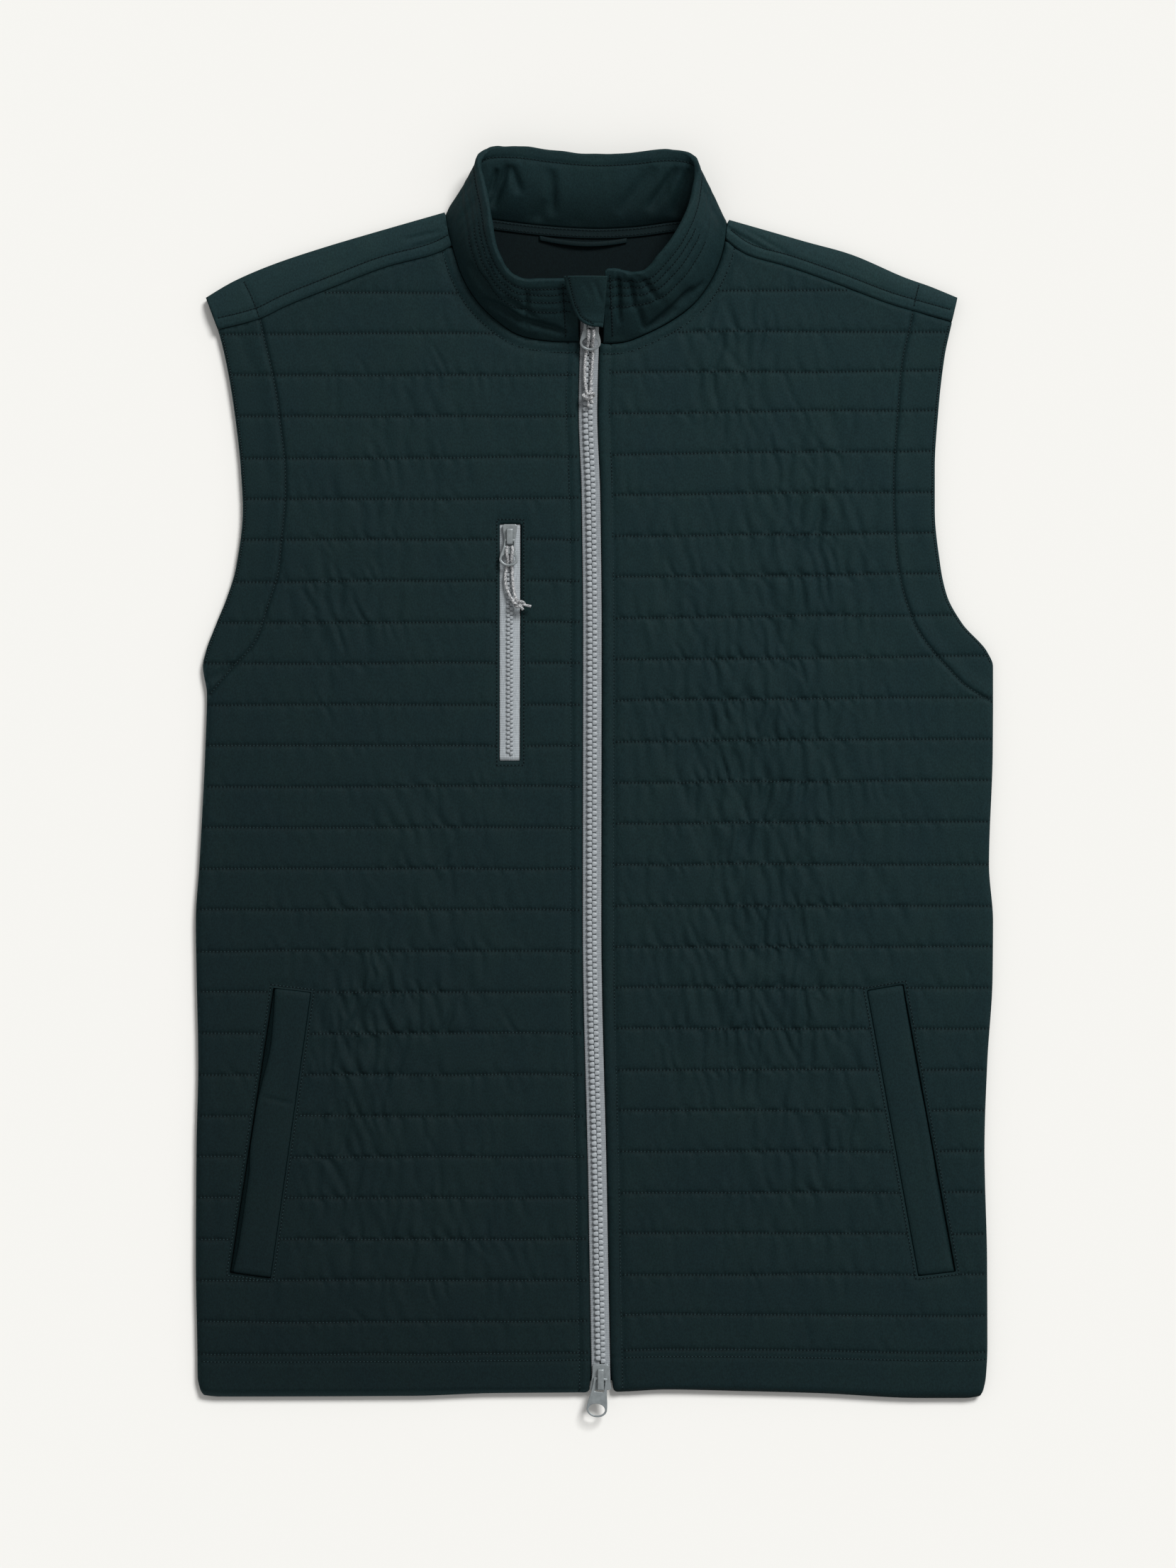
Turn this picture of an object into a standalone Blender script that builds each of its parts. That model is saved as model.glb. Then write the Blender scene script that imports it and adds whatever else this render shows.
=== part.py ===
"""Quilted zip vest with a stand collar, laid flat on its back: one solid for each cut or sewn-on piece.

The tables are in millimetres. +X is the wearer's left, +Y runs from the hem to the collar, and +Z is up from
the surface that the back lies on. The origin is on that surface, under the middle of the whole outline.
"""

import math

import bmesh
import bpy
from mathutils import Euler, Vector

MM = 0.001
SIDES = {"right": -1, "left": 1}

# Walls and clearances
SEAM_GAP = 0.3
NECK_GAP = 0.5
YOKE_GAP = 0.45
BACK_NECK_GAP = 1.5
BACK_WALL = 3.0
BACK_RINGS = (
    # share of the wall, how far the edge is drawn in
    (0.0, 0.9),
    (0.35, 0.15),
    (0.75, 0.15),
    (1.0, 0.5),
)
FRONT_FLOOR = BACK_WALL + SEAM_GAP
STITCH_WALL = 2.4
PUFF_RISE = 2.7
PUFF_POWER = 0.7
EDGE_ROUND = 9.0
SIDE_EDGE_SHARE = 0.42
SEAM_EDGE_SHARE = 0.75
HEM_EDGE_SHARE = 0.55
STRIP_FADE = 6.0
NECK_FADE = 8.0
COLLAR_WALL = 3.0
COLLAR_LIP = 0.8

# Quilting: the first row under the yoke, the spacing of the rows and the rise of a row towards the armhole
QUILT_FIRST = {"right": 303.6, "left": 304.8}
QUILT_PITCH = {"right": 25.5, "left": 25.4}
QUILT_ROWS = 26
QUILT_STEPS = 3
QUILT_TILT = {"right": -0.6, "left": 2.5}
TILT_FROM = -100.0
TILT_RUN = 200.0
TILT_BELOW_YOKE = 6.0
TILT_END_RUN = 60.0
HEM_STITCH = {"right": -353.8, "left": -352.4}
HEM_LEVEL = -379.0

# Sections and columns that the quilted fronts are worked out on
TOP_LEVEL = 340.0
FRONT_TIP = 4.0
LEAST_STEP = 0.4
HEM_SECTIONS = (0.0, 2.5, 8.0, 17.0)
NECK_SECTIONS = (-3.0, 0.05, 0.5, 1.2, 2.4, 4.2)
NEAR_COLUMNS = (0.0, 2.5, 7.3)
FAR_COLUMNS = (25.0, 9.0, 2.5, 0.0)
MIDDLE_COLUMNS = 5
NARROW_WIDTH = 90.0

# Edge of the body at each height: the wearer's right side and the wearer's left side
SIDE_ROWS = (
    # height, right, left
    (300.5, -240.9, 225.0),
    (284.7, -234.7, 221.5),
    (263.6, -229.0, 217.0),
    (230.6, -223.3, 213.2),
    (195.0, -219.3, 211.0),
    (169.0, -218.0, 211.0),
    (134.0, -222.0, 214.5),
    (116.0, -227.3, 218.5),
    (98.6, -234.3, 228.0),
    (81.0, -240.9, 243.5),
    (72.0, -242.7, 247.1),
    (54.6, -240.2, 247.1),
    (19.0, -241.3, 246.9),
    (-51.0, -244.9, 244.6),
    (-86.0, -247.1, 247.1),
    (-121.0, -246.6, 246.8),
    (-174.0, -245.6, 243.5),
    (-227.0, -246.7, 241.8),
    (-297.0, -247.1, 243.4),
    (-350.0, -246.2, 243.6),
    (-368.0, -246.0, 242.7),
    (-381.0, -243.0, 240.0),
)

# Hem line from the wearer's right to the wearer's left
HEM_ROWS = (
    # x, y
    (-247.0, -379.0),
    (-232.0, -380.6),
    (-114.0, -380.2),
    (-61.0, -378.4),
    (-8.0, -378.0),
    (18.0, -377.5),
    (45.0, -376.2),
    (84.0, -377.0),
    (137.0, -378.4),
    (203.0, -381.5),
    (229.0, -381.5),
    (248.0, -378.5),
)

# Forward shoulder seam, from the armhole to the neck
YOKE_SEAM = {
    "right": ((-233.4, 280.5), (-208.0, 287.0), (-190.0, 295.5), (-160.0, 307.5),
              (-130.0, 319.0), (-100.0, 327.0), (-84.0, 335.0)),
    "left": ((221.5, 285.5), (200.0, 291.5), (180.0, 297.5), (150.0, 309.0),
             (120.0, 319.5), (100.0, 325.0), (90.0, 329.5), (78.0, 339.0)),
}

# Fold along the top of the shoulder, from the armhole to the neck
SHOULDER_FOLD = {
    "right": ((-240.9, 300.5), (-223.0, 311.0), (-198.0, 321.6), (-166.0, 332.2),
              (-130.0, 342.8), (-93.0, 353.4)),
    "left": ((225.0, 300.5), (208.0, 307.5), (190.0, 314.0), (160.0, 327.0),
             (130.0, 335.5), (83.5, 348.8)),
}
YOKE_PROFILE = (
    # share of the way from seam to fold, wall
    (0.0, 2.1),
    (0.1, 2.8),
    (0.35, 3.2),
    (0.65, 3.0),
    (0.88, 2.2),
    (1.0, 1.0),
)

# Stand collar, from the wearer's right front edge round the back to the left one: the middle of its wall
# along the neck seam and along the top edge, and how far the wall bows outwards half way up
COLLAR_ROWS = (
    # base x, base y, base z, top x, top y, top z, bow
    (-9.5, 274.0, 5.0, -11.0, 309.5, 29.0, 1.0),
    (-28.0, 274.5, 5.0, -30.0, 308.5, 29.0, 1.5),
    (-46.0, 278.0, 5.0, -45.0, 309.0, 30.0, 2.0),
    (-60.0, 287.0, 5.0, -54.0, 315.0, 32.0, 2.5),
    (-72.0, 299.0, 5.0, -60.0, 326.0, 34.0, 2.5),
    (-81.0, 314.0, 5.0, -63.5, 340.0, 34.0, 2.5),
    (-87.0, 332.0, 5.0, -66.0, 357.0, 31.0, 2.0),
    (-90.5, 346.0, 5.0, -69.5, 372.0, 25.0, 1.0),
    (-90.5, 352.5, 4.5, -71.0, 383.5, 22.0, -0.5),
    (-85.5, 354.0, 2.4, -67.5, 389.0, 19.0, -1.5),
    (-75.0, 351.5, 1.9, -60.5, 391.6, 17.0, -2.5),
    (-55.0, 348.5, 1.8, -46.0, 391.8, 15.5, -3.0),
    (-28.0, 345.5, 1.8, -24.0, 389.0, 15.0, -3.0),
    (0.0, 344.0, 1.8, 0.0, 387.0, 15.0, -3.0),
    (25.0, 345.0, 1.8, 22.0, 387.8, 15.0, -3.0),
    (48.0, 348.0, 1.8, 41.0, 389.8, 15.5, -3.0),
    (67.0, 350.0, 1.9, 52.5, 389.2, 17.0, -2.5),
    (76.5, 350.5, 2.4, 59.5, 386.5, 19.0, -1.5),
    (80.5, 347.5, 4.5, 63.0, 380.0, 22.0, -0.5),
    (80.5, 340.0, 5.0, 62.0, 368.0, 25.0, 1.0),
    (77.5, 326.0, 5.0, 58.0, 352.0, 31.0, 2.0),
    (71.0, 311.0, 5.0, 50.0, 336.0, 34.0, 2.5),
    (61.0, 297.5, 5.0, 41.0, 324.0, 34.0, 2.5),
    (48.0, 287.5, 5.0, 31.0, 314.0, 32.0, 2.5),
    (33.0, 279.5, 5.0, 22.0, 313.0, 30.0, 2.0),
    (19.0, 274.0, 5.0, 13.0, 315.0, 29.0, 1.5),
    (5.5, 273.0, 5.0, 6.5, 314.0, 29.0, 1.0),
)
COLLAR_BETWEEN = 2
COLLAR_PROFILE = (
    # share of the way up, wall as a share of COLLAR_WALL
    (0.0, 0.85),
    (0.25, 1.05),
    (0.5, 1.1),
    (0.78, 1.0),
    (1.0, 1.15),
)
COLLAR_RIGHT_FOLD = 8
COLLAR_LEFT_FOLD = 18

# Main zip: its middle at each height, and the rise of the tapes up the collar's front edges
ZIP_LINE = (
    # height, x
    (310.0, -3.0),
    (285.0, -3.0),
    (230.0, -4.0),
    (178.0, -2.2),
    (90.0, -1.3),
    (-86.0, -1.5),
    (-245.0, 1.8),
    (-345.0, 3.6),
    (-385.0, 4.4),
)
ZIP_OPENING_HALF = 6.1
ZIP_FLARE = 1.1
ZIP_FLARE_TOP = -364.0
ZIP_FLARE_RUN = 12.0
ZIP_STRIP = 7.3
TAPE_WIDTH = 5.2
TAPE_SLOT = 0.6
TAPE_WALL = 1.0
TAPE_TOP = 303.0
TAPE_BOTTOM = -373.5
CHAIN_HALF = 3.3
CHAIN_WALL = 1.8
RISE_START = 276.0
RISE_SOFT = 4.0
RISE_SLOPE = 0.70
ZIP_STEP = 28.0
ZIP_BEND_STEP = 4.0
CHAIN_BELOW_SLIDER = 4.0

# Sliders: a body with flared shoulders and a bridge over it that holds the pull's cross bar
SLIDER_WALL = 2.4
BRIDGE_HALF = 1.9
BRIDGE_RISE = 3.3
BRIDGE_WALL = 1.0
BRIDGE_LEG = 1.5
BRIDGE_SUNK = 0.8
BRIDGE_BEVEL = 0.8
BAR_HALF = 0.75
PULL_WALL = 1.2
PULL_FLARE = 1.4
PIVOT_ABOVE_BODY = 1.15

# Pocket zip on the wearer's right chest
CHEST_X = -52.4
CHEST_HALF = 6.65
CHEST_TOP = 160.3
CHEST_BOTTOM = 13.3
CHEST_FLOOR = FRONT_FLOOR + 0.6
CHEST_CHAIN_HALF = 2.0
CHEST_CHAIN_WALL = 1.3
CHEST_STOP = 4.0

# Hand pockets: the welt's corners, its slit along the edge nearest to the side, and its wall
WELT_CORNERS = {
    # top outer, top inner, bottom inner, bottom outer
    "right": ((-196.5, -127.7), (-175.8, -130.1), (-200.8, -306.9), (-223.5, -303.8)),
    "left": ((189.6, -125.6), (169.0, -129.1), (200.8, -305.6), (222.0, -303.1)),
}
WELT_SLIT = 2.2
WELT_STATIONS = 9
WELT_PROFILE = (
    # share of the way across from the slit, wall
    (0.0, 1.9),
    (0.12, 2.6),
    (0.5, 2.9),
    (0.88, 2.6),
    (1.0, 2.0),
)
CUTTER_LOW = 1.0
CUTTER_HIGH = 16.0

# Flap over the top of the zip: its outline at each height, and its arch over the slider
GARAGE_ROWS = (
    # y, free edge, edge towards the wearer's left
    (281.3, -1.5, 4.0),
    (283.0, -6.0, 4.4),
    (286.0, -9.8, 4.7),
    (290.0, -12.3, 5.0),
    (295.0, -14.4, 5.4),
    (300.0, -16.0, 5.8),
    (306.0, -17.8, 6.4),
    (310.8, -19.0, 6.9),
)
GARAGE_WALL = 1.4
GARAGE_LIFT = 6.3
GARAGE_ARCH = 3.0
GARAGE_LIP = 1.4
GARAGE_LIP_REACH = 9.0
GARAGE_COLUMNS = 7
GARAGE_LEFT_ROOT = 11.0
GARAGE_RIGHT_ROOT = -22.0

# Inside of the back neck
NECK_TAPE_WIDTH = 6.0
NECK_TAPE_WALL = 0.9
NECK_TAPE_REACH = (-66.0, 58.0)
NECK_TAPE_BELOW_EDGE = 1.0
NECK_SPANS = 16
LOOP_REACH = (-34.0, 20.0)
LOOP_WIDTH = 3.0
LOOP_WALL = 1.0
LOOP_RISE = 1.6
LOOP_DROP = 2.0

# Cords on the upper pulls
CORD_RADIUS = 0.95
CORD_BETWEEN = 2
KNOT_END_ROOT = 0.2

# Routes of the cord strands, from the pull's neck through its hole and under its end to the knot
CORD_ROUTES = {
    # x, y, z
    "cord_top_right": ((-3.5, 279.9, 15.8), (-3.6, 277.4, 15.3), (-3.7, 274.7, 14.5), (-4.0, 271.4, 11.3),
                       (-4.6, 268.1, 8.5), (-5.3, 265.0, 8.0), (-5.9, 259.0, 7.9), (-6.0, 252.0, 7.9),
                       (-5.7, 246.5, 8.3), (-5.0, 242.9, 9.0)),
    "cord_top_left": ((-0.6, 279.9, 15.8), (-0.4, 277.4, 15.3), (-0.6, 274.7, 14.5), (-1.2, 271.4, 11.3),
                      (-1.1, 268.1, 8.5), (-1.0, 265.0, 8.0), (-1.3, 259.0, 7.9), (-1.8, 252.0, 7.9),
                      (-2.1, 246.5, 8.3), (-2.2, 242.9, 9.0)),
    "cord_chest_right": ((-53.7, 146.3, 11.0), (-54.3, 143.5, 11.4), (-54.1, 141.2, 11.3),
                         (-53.7, 138.2, 9.8),
                         (-54.0, 135.1, 8.2), (-54.6, 131.5, 7.8), (-55.2, 127.0, 7.8), (-54.7, 121.8, 7.8),
                         (-53.2, 117.5, 8.3), (-51.7, 114.6, 9.2)),
    "cord_chest_left": ((-51.1, 146.3, 11.0), (-50.6, 143.5, 11.4), (-50.9, 141.2, 11.3), (-51.4, 138.2, 9.8),
                        (-51.2, 135.1, 8.2), (-50.9, 131.5, 7.8), (-50.8, 127.0, 7.8), (-50.4, 122.2, 7.9),
                        (-49.7, 118.0, 8.7), (-49.1, 115.2, 9.8)),
}
KNOTS = (
    # name, centre, half sizes, turn, tips of the cut ends
    ("knot_top", (-3.6, 239.0, 9.8), (4.4, 2.9, 2.6), 0.1, ((-0.8, -6.2, -0.6), (2.2, -4.6, 0.8))),
    ("knot_chest", (-47.2, 110.8, 10.9), (4.7, 3.1, 2.4), -0.3, ((8.2, 0.6, 0.2), (4.2, -2.9, 0.6))),
)

# Places and shapes of the sliders and pulls, each from its own origin
# Rows of a slider are (y, half width); a pull is (neck half, ring half, ring at, tip at), its hole is
# (at, half width, half height) and its fork is (end at, clearance beside the bridge)
BOTTOM_SLIDER_TOP = -360.2
BOTTOM_SLIDER_ROWS = ((0.0, 5.2), (-6.0, 5.2), (-12.0, 6.2), (-15.6, 6.75), (-16.0, 5.5))
BOTTOM_BRIDGE = (-15.9, -2.6)
BOTTOM_PIVOT_DOWN = 9.0
BOTTOM_PULL = (4.35, 6.4, 19.0, 23.9)
BOTTOM_HOLE = (19.1, 5.1, 3.6)
BOTTOM_FORK = (8.0, 1.0)
BOTTOM_DROOP = math.radians(0.5)
BOTTOM_LEAN = math.radians(-7.5)
CHEST_SLIDER_LOW = 147.0
CHEST_SLIDER_ROWS = ((13.0, 4.6), (9.0, 4.4), (4.0, 3.4), (0.0, 3.4))
CHEST_BRIDGE = (0.2, 10.4)
CHEST_PIVOT_UP = 3.0
CHEST_PULL = (3.4, 5.75, 12.4, 16.2)
CHEST_HOLE = (11.8, 4.3, 3.1)
CHEST_FORK = (4.0, 0.6)
CHEST_DROOP = math.radians(-5.0)
CHEST_LEAN = math.radians(-3.5)
TOP_SLIDER_LOW = 283.2
TOP_SLIDER_X = -2.2
TOP_SLIDER_ROWS = ((14.0, 5.6), (9.0, 5.4), (4.0, 4.6), (0.0, 4.6))
TOP_BRIDGE = (0.2, 10.4)
TOP_PIVOT_UP = 3.0
TOP_PULL = (4.4, 6.5, 12.2, 17.0)
TOP_HOLE = (12.2, 5.0, 3.4)
TOP_FORK = (4.0, 0.6)
TOP_DROOP = math.radians(15.0)
TOP_LEAN = math.radians(-2.0)

COLOURS = {
    # sRGB value of each channel, roughness, metallic
    "shell": ((28, 42, 45), 0.72, 0.0),
    "yoke": ((38, 51, 54), 0.72, 0.0),
    "lining": ((15, 20, 24), 0.8, 0.0),
    "zip_tape": ((128, 131, 136), 0.85, 0.0),
    "zip_plastic": ((146, 152, 155), 0.45, 0.0),
    "zip_metal": ((138, 145, 147), 0.4, 0.6),
    "cord": ((158, 160, 162), 0.8, 0.0),
}


def clear_scene():
    for obj in list(bpy.data.objects):
        bpy.data.objects.remove(obj)


def clamp(value, low=0.0, high=1.0):
    return max(low, min(high, value))


def smooth(value):
    share = clamp(value)
    return share * share * (3 - 2 * share)


def mix(first, second, share):
    return first + (second - first) * share


def curve_through(rows, column=1):
    """A smooth function through a table sorted by its first column, with no overshoot between rows."""
    ordered = sorted((row[0], row[column]) for row in rows)
    at = [row[0] for row in ordered]
    value = [row[1] for row in ordered]
    slope = [(value[i + 1] - value[i]) / (at[i + 1] - at[i]) for i in range(len(at) - 1)]
    turn = [slope[0]]
    for before, after in zip(slope, slope[1:]):
        turn.append(2 * before * after / (before + after) if before * after > 0 else 0.0)
    turn.append(slope[-1])

    def evaluate(position):
        position = clamp(position, at[0], at[-1])
        i = max(k for k in range(len(at) - 1) if at[k] <= position)
        step = at[i + 1] - at[i]
        t = (position - at[i]) / step
        first = (1 + 2 * t) * (1 - t) ** 2 * value[i] + t * (1 - t) ** 2 * step * turn[i]
        second = t * t * (3 - 2 * t) * value[i + 1] - t * t * (1 - t) * step * turn[i + 1]
        return first + second

    return evaluate


def straight_through(points, flip=False):
    """A function that is straight between points (x, y), giving y at x, or x at y with flip."""
    ordered = sorted((p[1], p[0]) if flip else (p[0], p[1]) for p in points)

    def evaluate(position):
        position = clamp(position, ordered[0][0], ordered[-1][0])
        for (a, first), (b, second) in zip(ordered, ordered[1:]):
            if position <= b and b > a:
                return mix(first, second, (position - a) / (b - a))
        return ordered[-1][1]

    return evaluate


def spline_rows(rows, between):
    """The rows of a table with smooth rows worked out between them."""
    made = []
    last = len(rows) - 1
    for i in range(last):
        before, start, end, after = (rows[clamp(k, 0, last)] for k in (i - 1, i, i + 1, i + 2))
        for step in range(between):
            t = step / between
            made.append(tuple(
                b + 0.5 * t * (c - a + t * (2 * a - 5 * b + 4 * c - d + t * (3 * (b - c) + d - a)))
                for a, b, c, d in zip(before, start, end, after)
            ))
    made.append(tuple(rows[-1]))
    return made


def along(points, share):
    """The point at a share of the length of a line of (x, y) points."""
    lengths = [math.dist(a, b) for a, b in zip(points, points[1:])]
    left = share * sum(lengths)
    for (a, b), length in zip(zip(points, points[1:]), lengths):
        if left <= length:
            return Vector(a).lerp(Vector(b), left / length)
        left -= length
    return Vector(points[-1])


def finish_for(name, kind):
    channels, roughness, metallic = COLOURS[kind]
    material = bpy.data.materials.new(name + "_finish")
    material.use_nodes = True
    shader = material.node_tree.nodes["Principled BSDF"]
    linear = [((c / 255 + 0.055) / 1.055) ** 2.4 for c in channels]
    shader.inputs["Base Color"].default_value = (*linear, 1.0)
    shader.inputs["Roughness"].default_value = roughness
    shader.inputs["Metallic"].default_value = metallic
    material.diffuse_color = (*linear, 1.0)
    return material


def object_from(name, points, faces, kind):
    """A named object from points in millimetres, with its faces turned outwards and round parts smooth."""
    mesh = bpy.data.meshes.new(name)
    mesh.from_pydata([Vector(p) * MM for p in points], [], faces)
    shape = bmesh.new()
    shape.from_mesh(mesh)
    bmesh.ops.triangulate(shape, faces=shape.faces)
    bmesh.ops.recalc_face_normals(shape, faces=shape.faces)
    shape.to_mesh(mesh)
    shape.free()
    mesh.shade_smooth()
    mesh.set_sharp_from_angle(angle=math.radians(50))
    obj = bpy.data.objects.new(name, mesh)
    bpy.context.scene.collection.objects.link(obj)
    if kind:
        mesh.materials.append(finish_for(name, kind))
    return obj


def loft(name, loops, kind):
    """A solid through closed loops of equal length, with its two ends filled."""
    count = len(loops[0])
    points = [p for loop in loops for p in loop]
    faces = []
    for row in range(len(loops) - 1):
        for i in range(count):
            j = (i + 1) % count
            start, end = row * count, (row + 1) * count
            faces.append((start + i, start + j, end + j, end + i))
    faces.append(tuple(range(count)))
    faces.append(tuple(range(len(points) - count, len(points))))
    return object_from(name, points, faces, kind)


def extrude(name, outline, low, high, kind):
    """A flat plate: an outline of (x, y) points between two heights."""
    return loft(name, [[(x, y, z) for x, y in outline] for z in (low, high)], kind)


def cutter(name, outline, low, high):
    obj = extrude(name, outline, low, high, None)
    obj.hide_render = True
    obj.display_type = "WIRE"
    return obj


def combine(obj, other, operation):
    modifier = obj.modifiers.new(operation.lower() + "_" + other.name, "BOOLEAN")
    modifier.operation = operation
    modifier.object = other
    other.hide_render = True
    other.display_type = "WIRE"


def ellipse(centre_x, centre_y, half_x, half_y, steps):
    turns = (math.tau * i / steps for i in range(steps))
    return [(centre_x + half_x * math.cos(a), centre_y + half_y * math.sin(a)) for a in turns]


side_edge = {"right": curve_through(SIDE_ROWS, 1), "left": curve_through(SIDE_ROWS, 2)}
hem_line = curve_through(HEM_ROWS)
zip_middle = curve_through(ZIP_LINE)


def zip_level(y):
    """Height of the underside of the zip tapes: flat on the back, then up the collar's front edges."""
    rise = RISE_SOFT * math.log1p(math.exp((y - RISE_START) / RISE_SOFT))
    return FRONT_FLOOR + RISE_SLOPE * rise


class Collar:
    """The collar's wall worked out section by section, and the neck edge that the panels are sewn to."""

    def __init__(self):
        self.rows = spline_rows(COLLAR_ROWS, COLLAR_BETWEEN)
        self.base = [Vector(row[0:3]) for row in self.rows]
        self.top = [Vector(row[3:6]) for row in self.rows]
        self.bow = [row[6] for row in self.rows]

    def outward(self, i, share):
        """Unit vector out of the collar's outer face at a share of the way up section i."""
        before, after = max(i - 1, 0), min(i + 1, len(self.rows) - 1)
        line = [self.base[k].lerp(self.top[k], share) for k in (before, after)]
        up = self.top[i] - self.base[i]
        return up.cross(line[1] - line[0]).normalized()

    def middle(self, i, share):
        bow = 4 * share * (1 - share) * self.bow[i]
        return self.base[i].lerp(self.top[i], share) + self.outward(i, share) * bow

    def loop(self, i):
        """The closed section i: up the outer face, over the lip and down the inner face."""
        outer, inner = [], []
        for share, wall in COLLAR_PROFILE:
            middle = self.middle(i, share)
            reach = self.outward(i, share) * (0.5 * COLLAR_WALL * wall)
            outer.append(middle + reach)
            inner.append(middle - reach)
        lip = self.top[i] + (self.top[i] - self.base[i]).normalized() * COLLAR_LIP
        return outer + [lip] + inner[::-1]

    def neck_edge(self, i, gap):
        """Point (x, y) of the neck edge of a body panel, a gap away from section i."""
        up = (self.top[i] - self.base[i]).xy.normalized()
        clear = self.outward(i, 0).xy * (0.5 * COLLAR_WALL)
        return self.base[i].xy + clear - up * gap

    def edges(self, first, last, gap=NECK_GAP):
        """Neck edge from one row of the table to another."""
        return [self.neck_edge(i, gap) for i in range(first * COLLAR_BETWEEN, last * COLLAR_BETWEEN + 1)]

    def build(self):
        loft("collar", [self.loop(i) for i in range(len(self.rows))], "shell")


class Front:
    """One quilted front panel: a plain inside on the back panel, and rows of quilting raised outside."""

    def __init__(self, side, collar):
        self.side = side
        self.sign = SIDES[side]
        reach = {"right": (0, COLLAR_RIGHT_FOLD - 1), "left": (COLLAR_LEFT_FOLD + 1, len(COLLAR_ROWS) - 1)}
        neck = collar.edges(*reach[side])
        self.neck_x = straight_through(neck, flip=True)
        self.neck_y = min(p.y for p in neck)
        self.yoke_x = straight_through(YOKE_SEAM[side], flip=True)
        self.yoke_y = YOKE_SEAM[side][0][1]
        self.stitches = [QUILT_FIRST[side] - k * QUILT_PITCH[side] for k in range(QUILT_ROWS)]
        self.stitches.append(HEM_STITCH[side])

    def inner_x(self, y):
        if y > self.neck_y:
            return self.neck_x(y)
        flare = ZIP_FLARE * smooth((ZIP_FLARE_TOP - y) / ZIP_FLARE_RUN)
        return zip_middle(y) + self.sign * (ZIP_OPENING_HALF + flare)

    def outer_x(self, y):
        if y > self.yoke_y:
            return self.yoke_x(y)
        return side_edge[self.side](y)

    def puff(self, y):
        """Share of the quilting's full rise at a height: none on a row of stitches, all of it half way."""
        levels = [TOP_LEVEL] + self.stitches + [HEM_LEVEL]
        for upper, lower in zip(levels, levels[1:]):
            if lower <= y <= upper:
                return clamp(math.sin(math.pi * (upper - y) / (upper - lower))) ** PUFF_POWER
        return 0.0

    def wall(self, y, from_inner, from_outer, from_hem):
        if y < self.neck_y:
            strip = smooth((from_inner - ZIP_STRIP) / STRIP_FADE)
        else:
            strip = smooth(from_inner / NECK_FADE)
        wall = STITCH_WALL + PUFF_RISE * self.puff(y) * strip
        outer_share = SEAM_EDGE_SHARE if y > self.yoke_y else SIDE_EDGE_SHARE
        edges = ((from_inner, SEAM_EDGE_SHARE), (from_outer, outer_share), (from_hem, HEM_EDGE_SHARE))
        for distance, share in edges:
            near = 1 - clamp(distance / EDGE_ROUND)
            wall *= mix(share, 1, math.sqrt(1 - near * near))
        return wall

    def heights(self):
        """Heights of the sections: at and between the rows of stitches, and close together at the neck."""
        levels = [HEM_LEVEL + rise for rise in HEM_SECTIONS]
        marks = self.stitches[::-1] + [TOP_LEVEL]
        for lower, upper in zip(marks, marks[1:]):
            levels += [mix(lower, upper, k / QUILT_STEPS) for k in range(QUILT_STEPS)]
        levels += [self.neck_y + rise for rise in NECK_SECTIONS]
        levels += [y for x, y in YOKE_SEAM[self.side]]
        top = TOP_LEVEL
        while self.width(top) <= FRONT_TIP:
            top -= LEAST_STEP
        kept = []
        for y in sorted(y for y in levels if y < top - FRONT_TIP * LEAST_STEP) + [top]:
            if not kept or y - kept[-1] > LEAST_STEP:
                kept.append(y)
        return kept

    def width(self, y):
        return self.sign * (self.outer_x(y) - self.inner_x(y))

    def columns(self, width):
        """Distances of the columns from the inner edge."""
        scale = min(1.0, width / NARROW_WIDTH)
        first, last = NEAR_COLUMNS[-1] * scale, width - FAR_COLUMNS[0] * scale
        spans = MIDDLE_COLUMNS + 1
        return ([d * scale for d in NEAR_COLUMNS]
                + [mix(first, last, k / spans) for k in range(1, spans)]
                + [width - d * scale for d in FAR_COLUMNS])

    def loop(self, level):
        inner, outer = self.inner_x(level), self.outer_x(level)
        width = abs(outer - inner)
        hem_share = clamp((HEM_STITCH[self.side] - level) / (HEM_STITCH[self.side] - HEM_LEVEL))
        tilt = QUILT_TILT[self.side] * smooth((level - TILT_FROM) / TILT_RUN)
        tilt *= smooth((self.yoke_y - TILT_BELOW_YOKE - level) / TILT_END_RUN)
        upper = []
        for distance in self.columns(width):
            x = inner + self.sign * distance
            y = level + hem_share * (hem_line(x) - HEM_LEVEL) + tilt * distance / width
            wall = self.wall(level, distance, width - distance, level - HEM_LEVEL)
            upper.append(Vector((x, y, FRONT_FLOOR + wall)))
        lower = [Vector((p.x, p.y, FRONT_FLOOR)) for p in (upper[-1], upper[0])]
        return upper + lower

    def build(self):
        return loft("front_" + self.side, [self.loop(level) for level in self.heights()], "shell")


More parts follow.
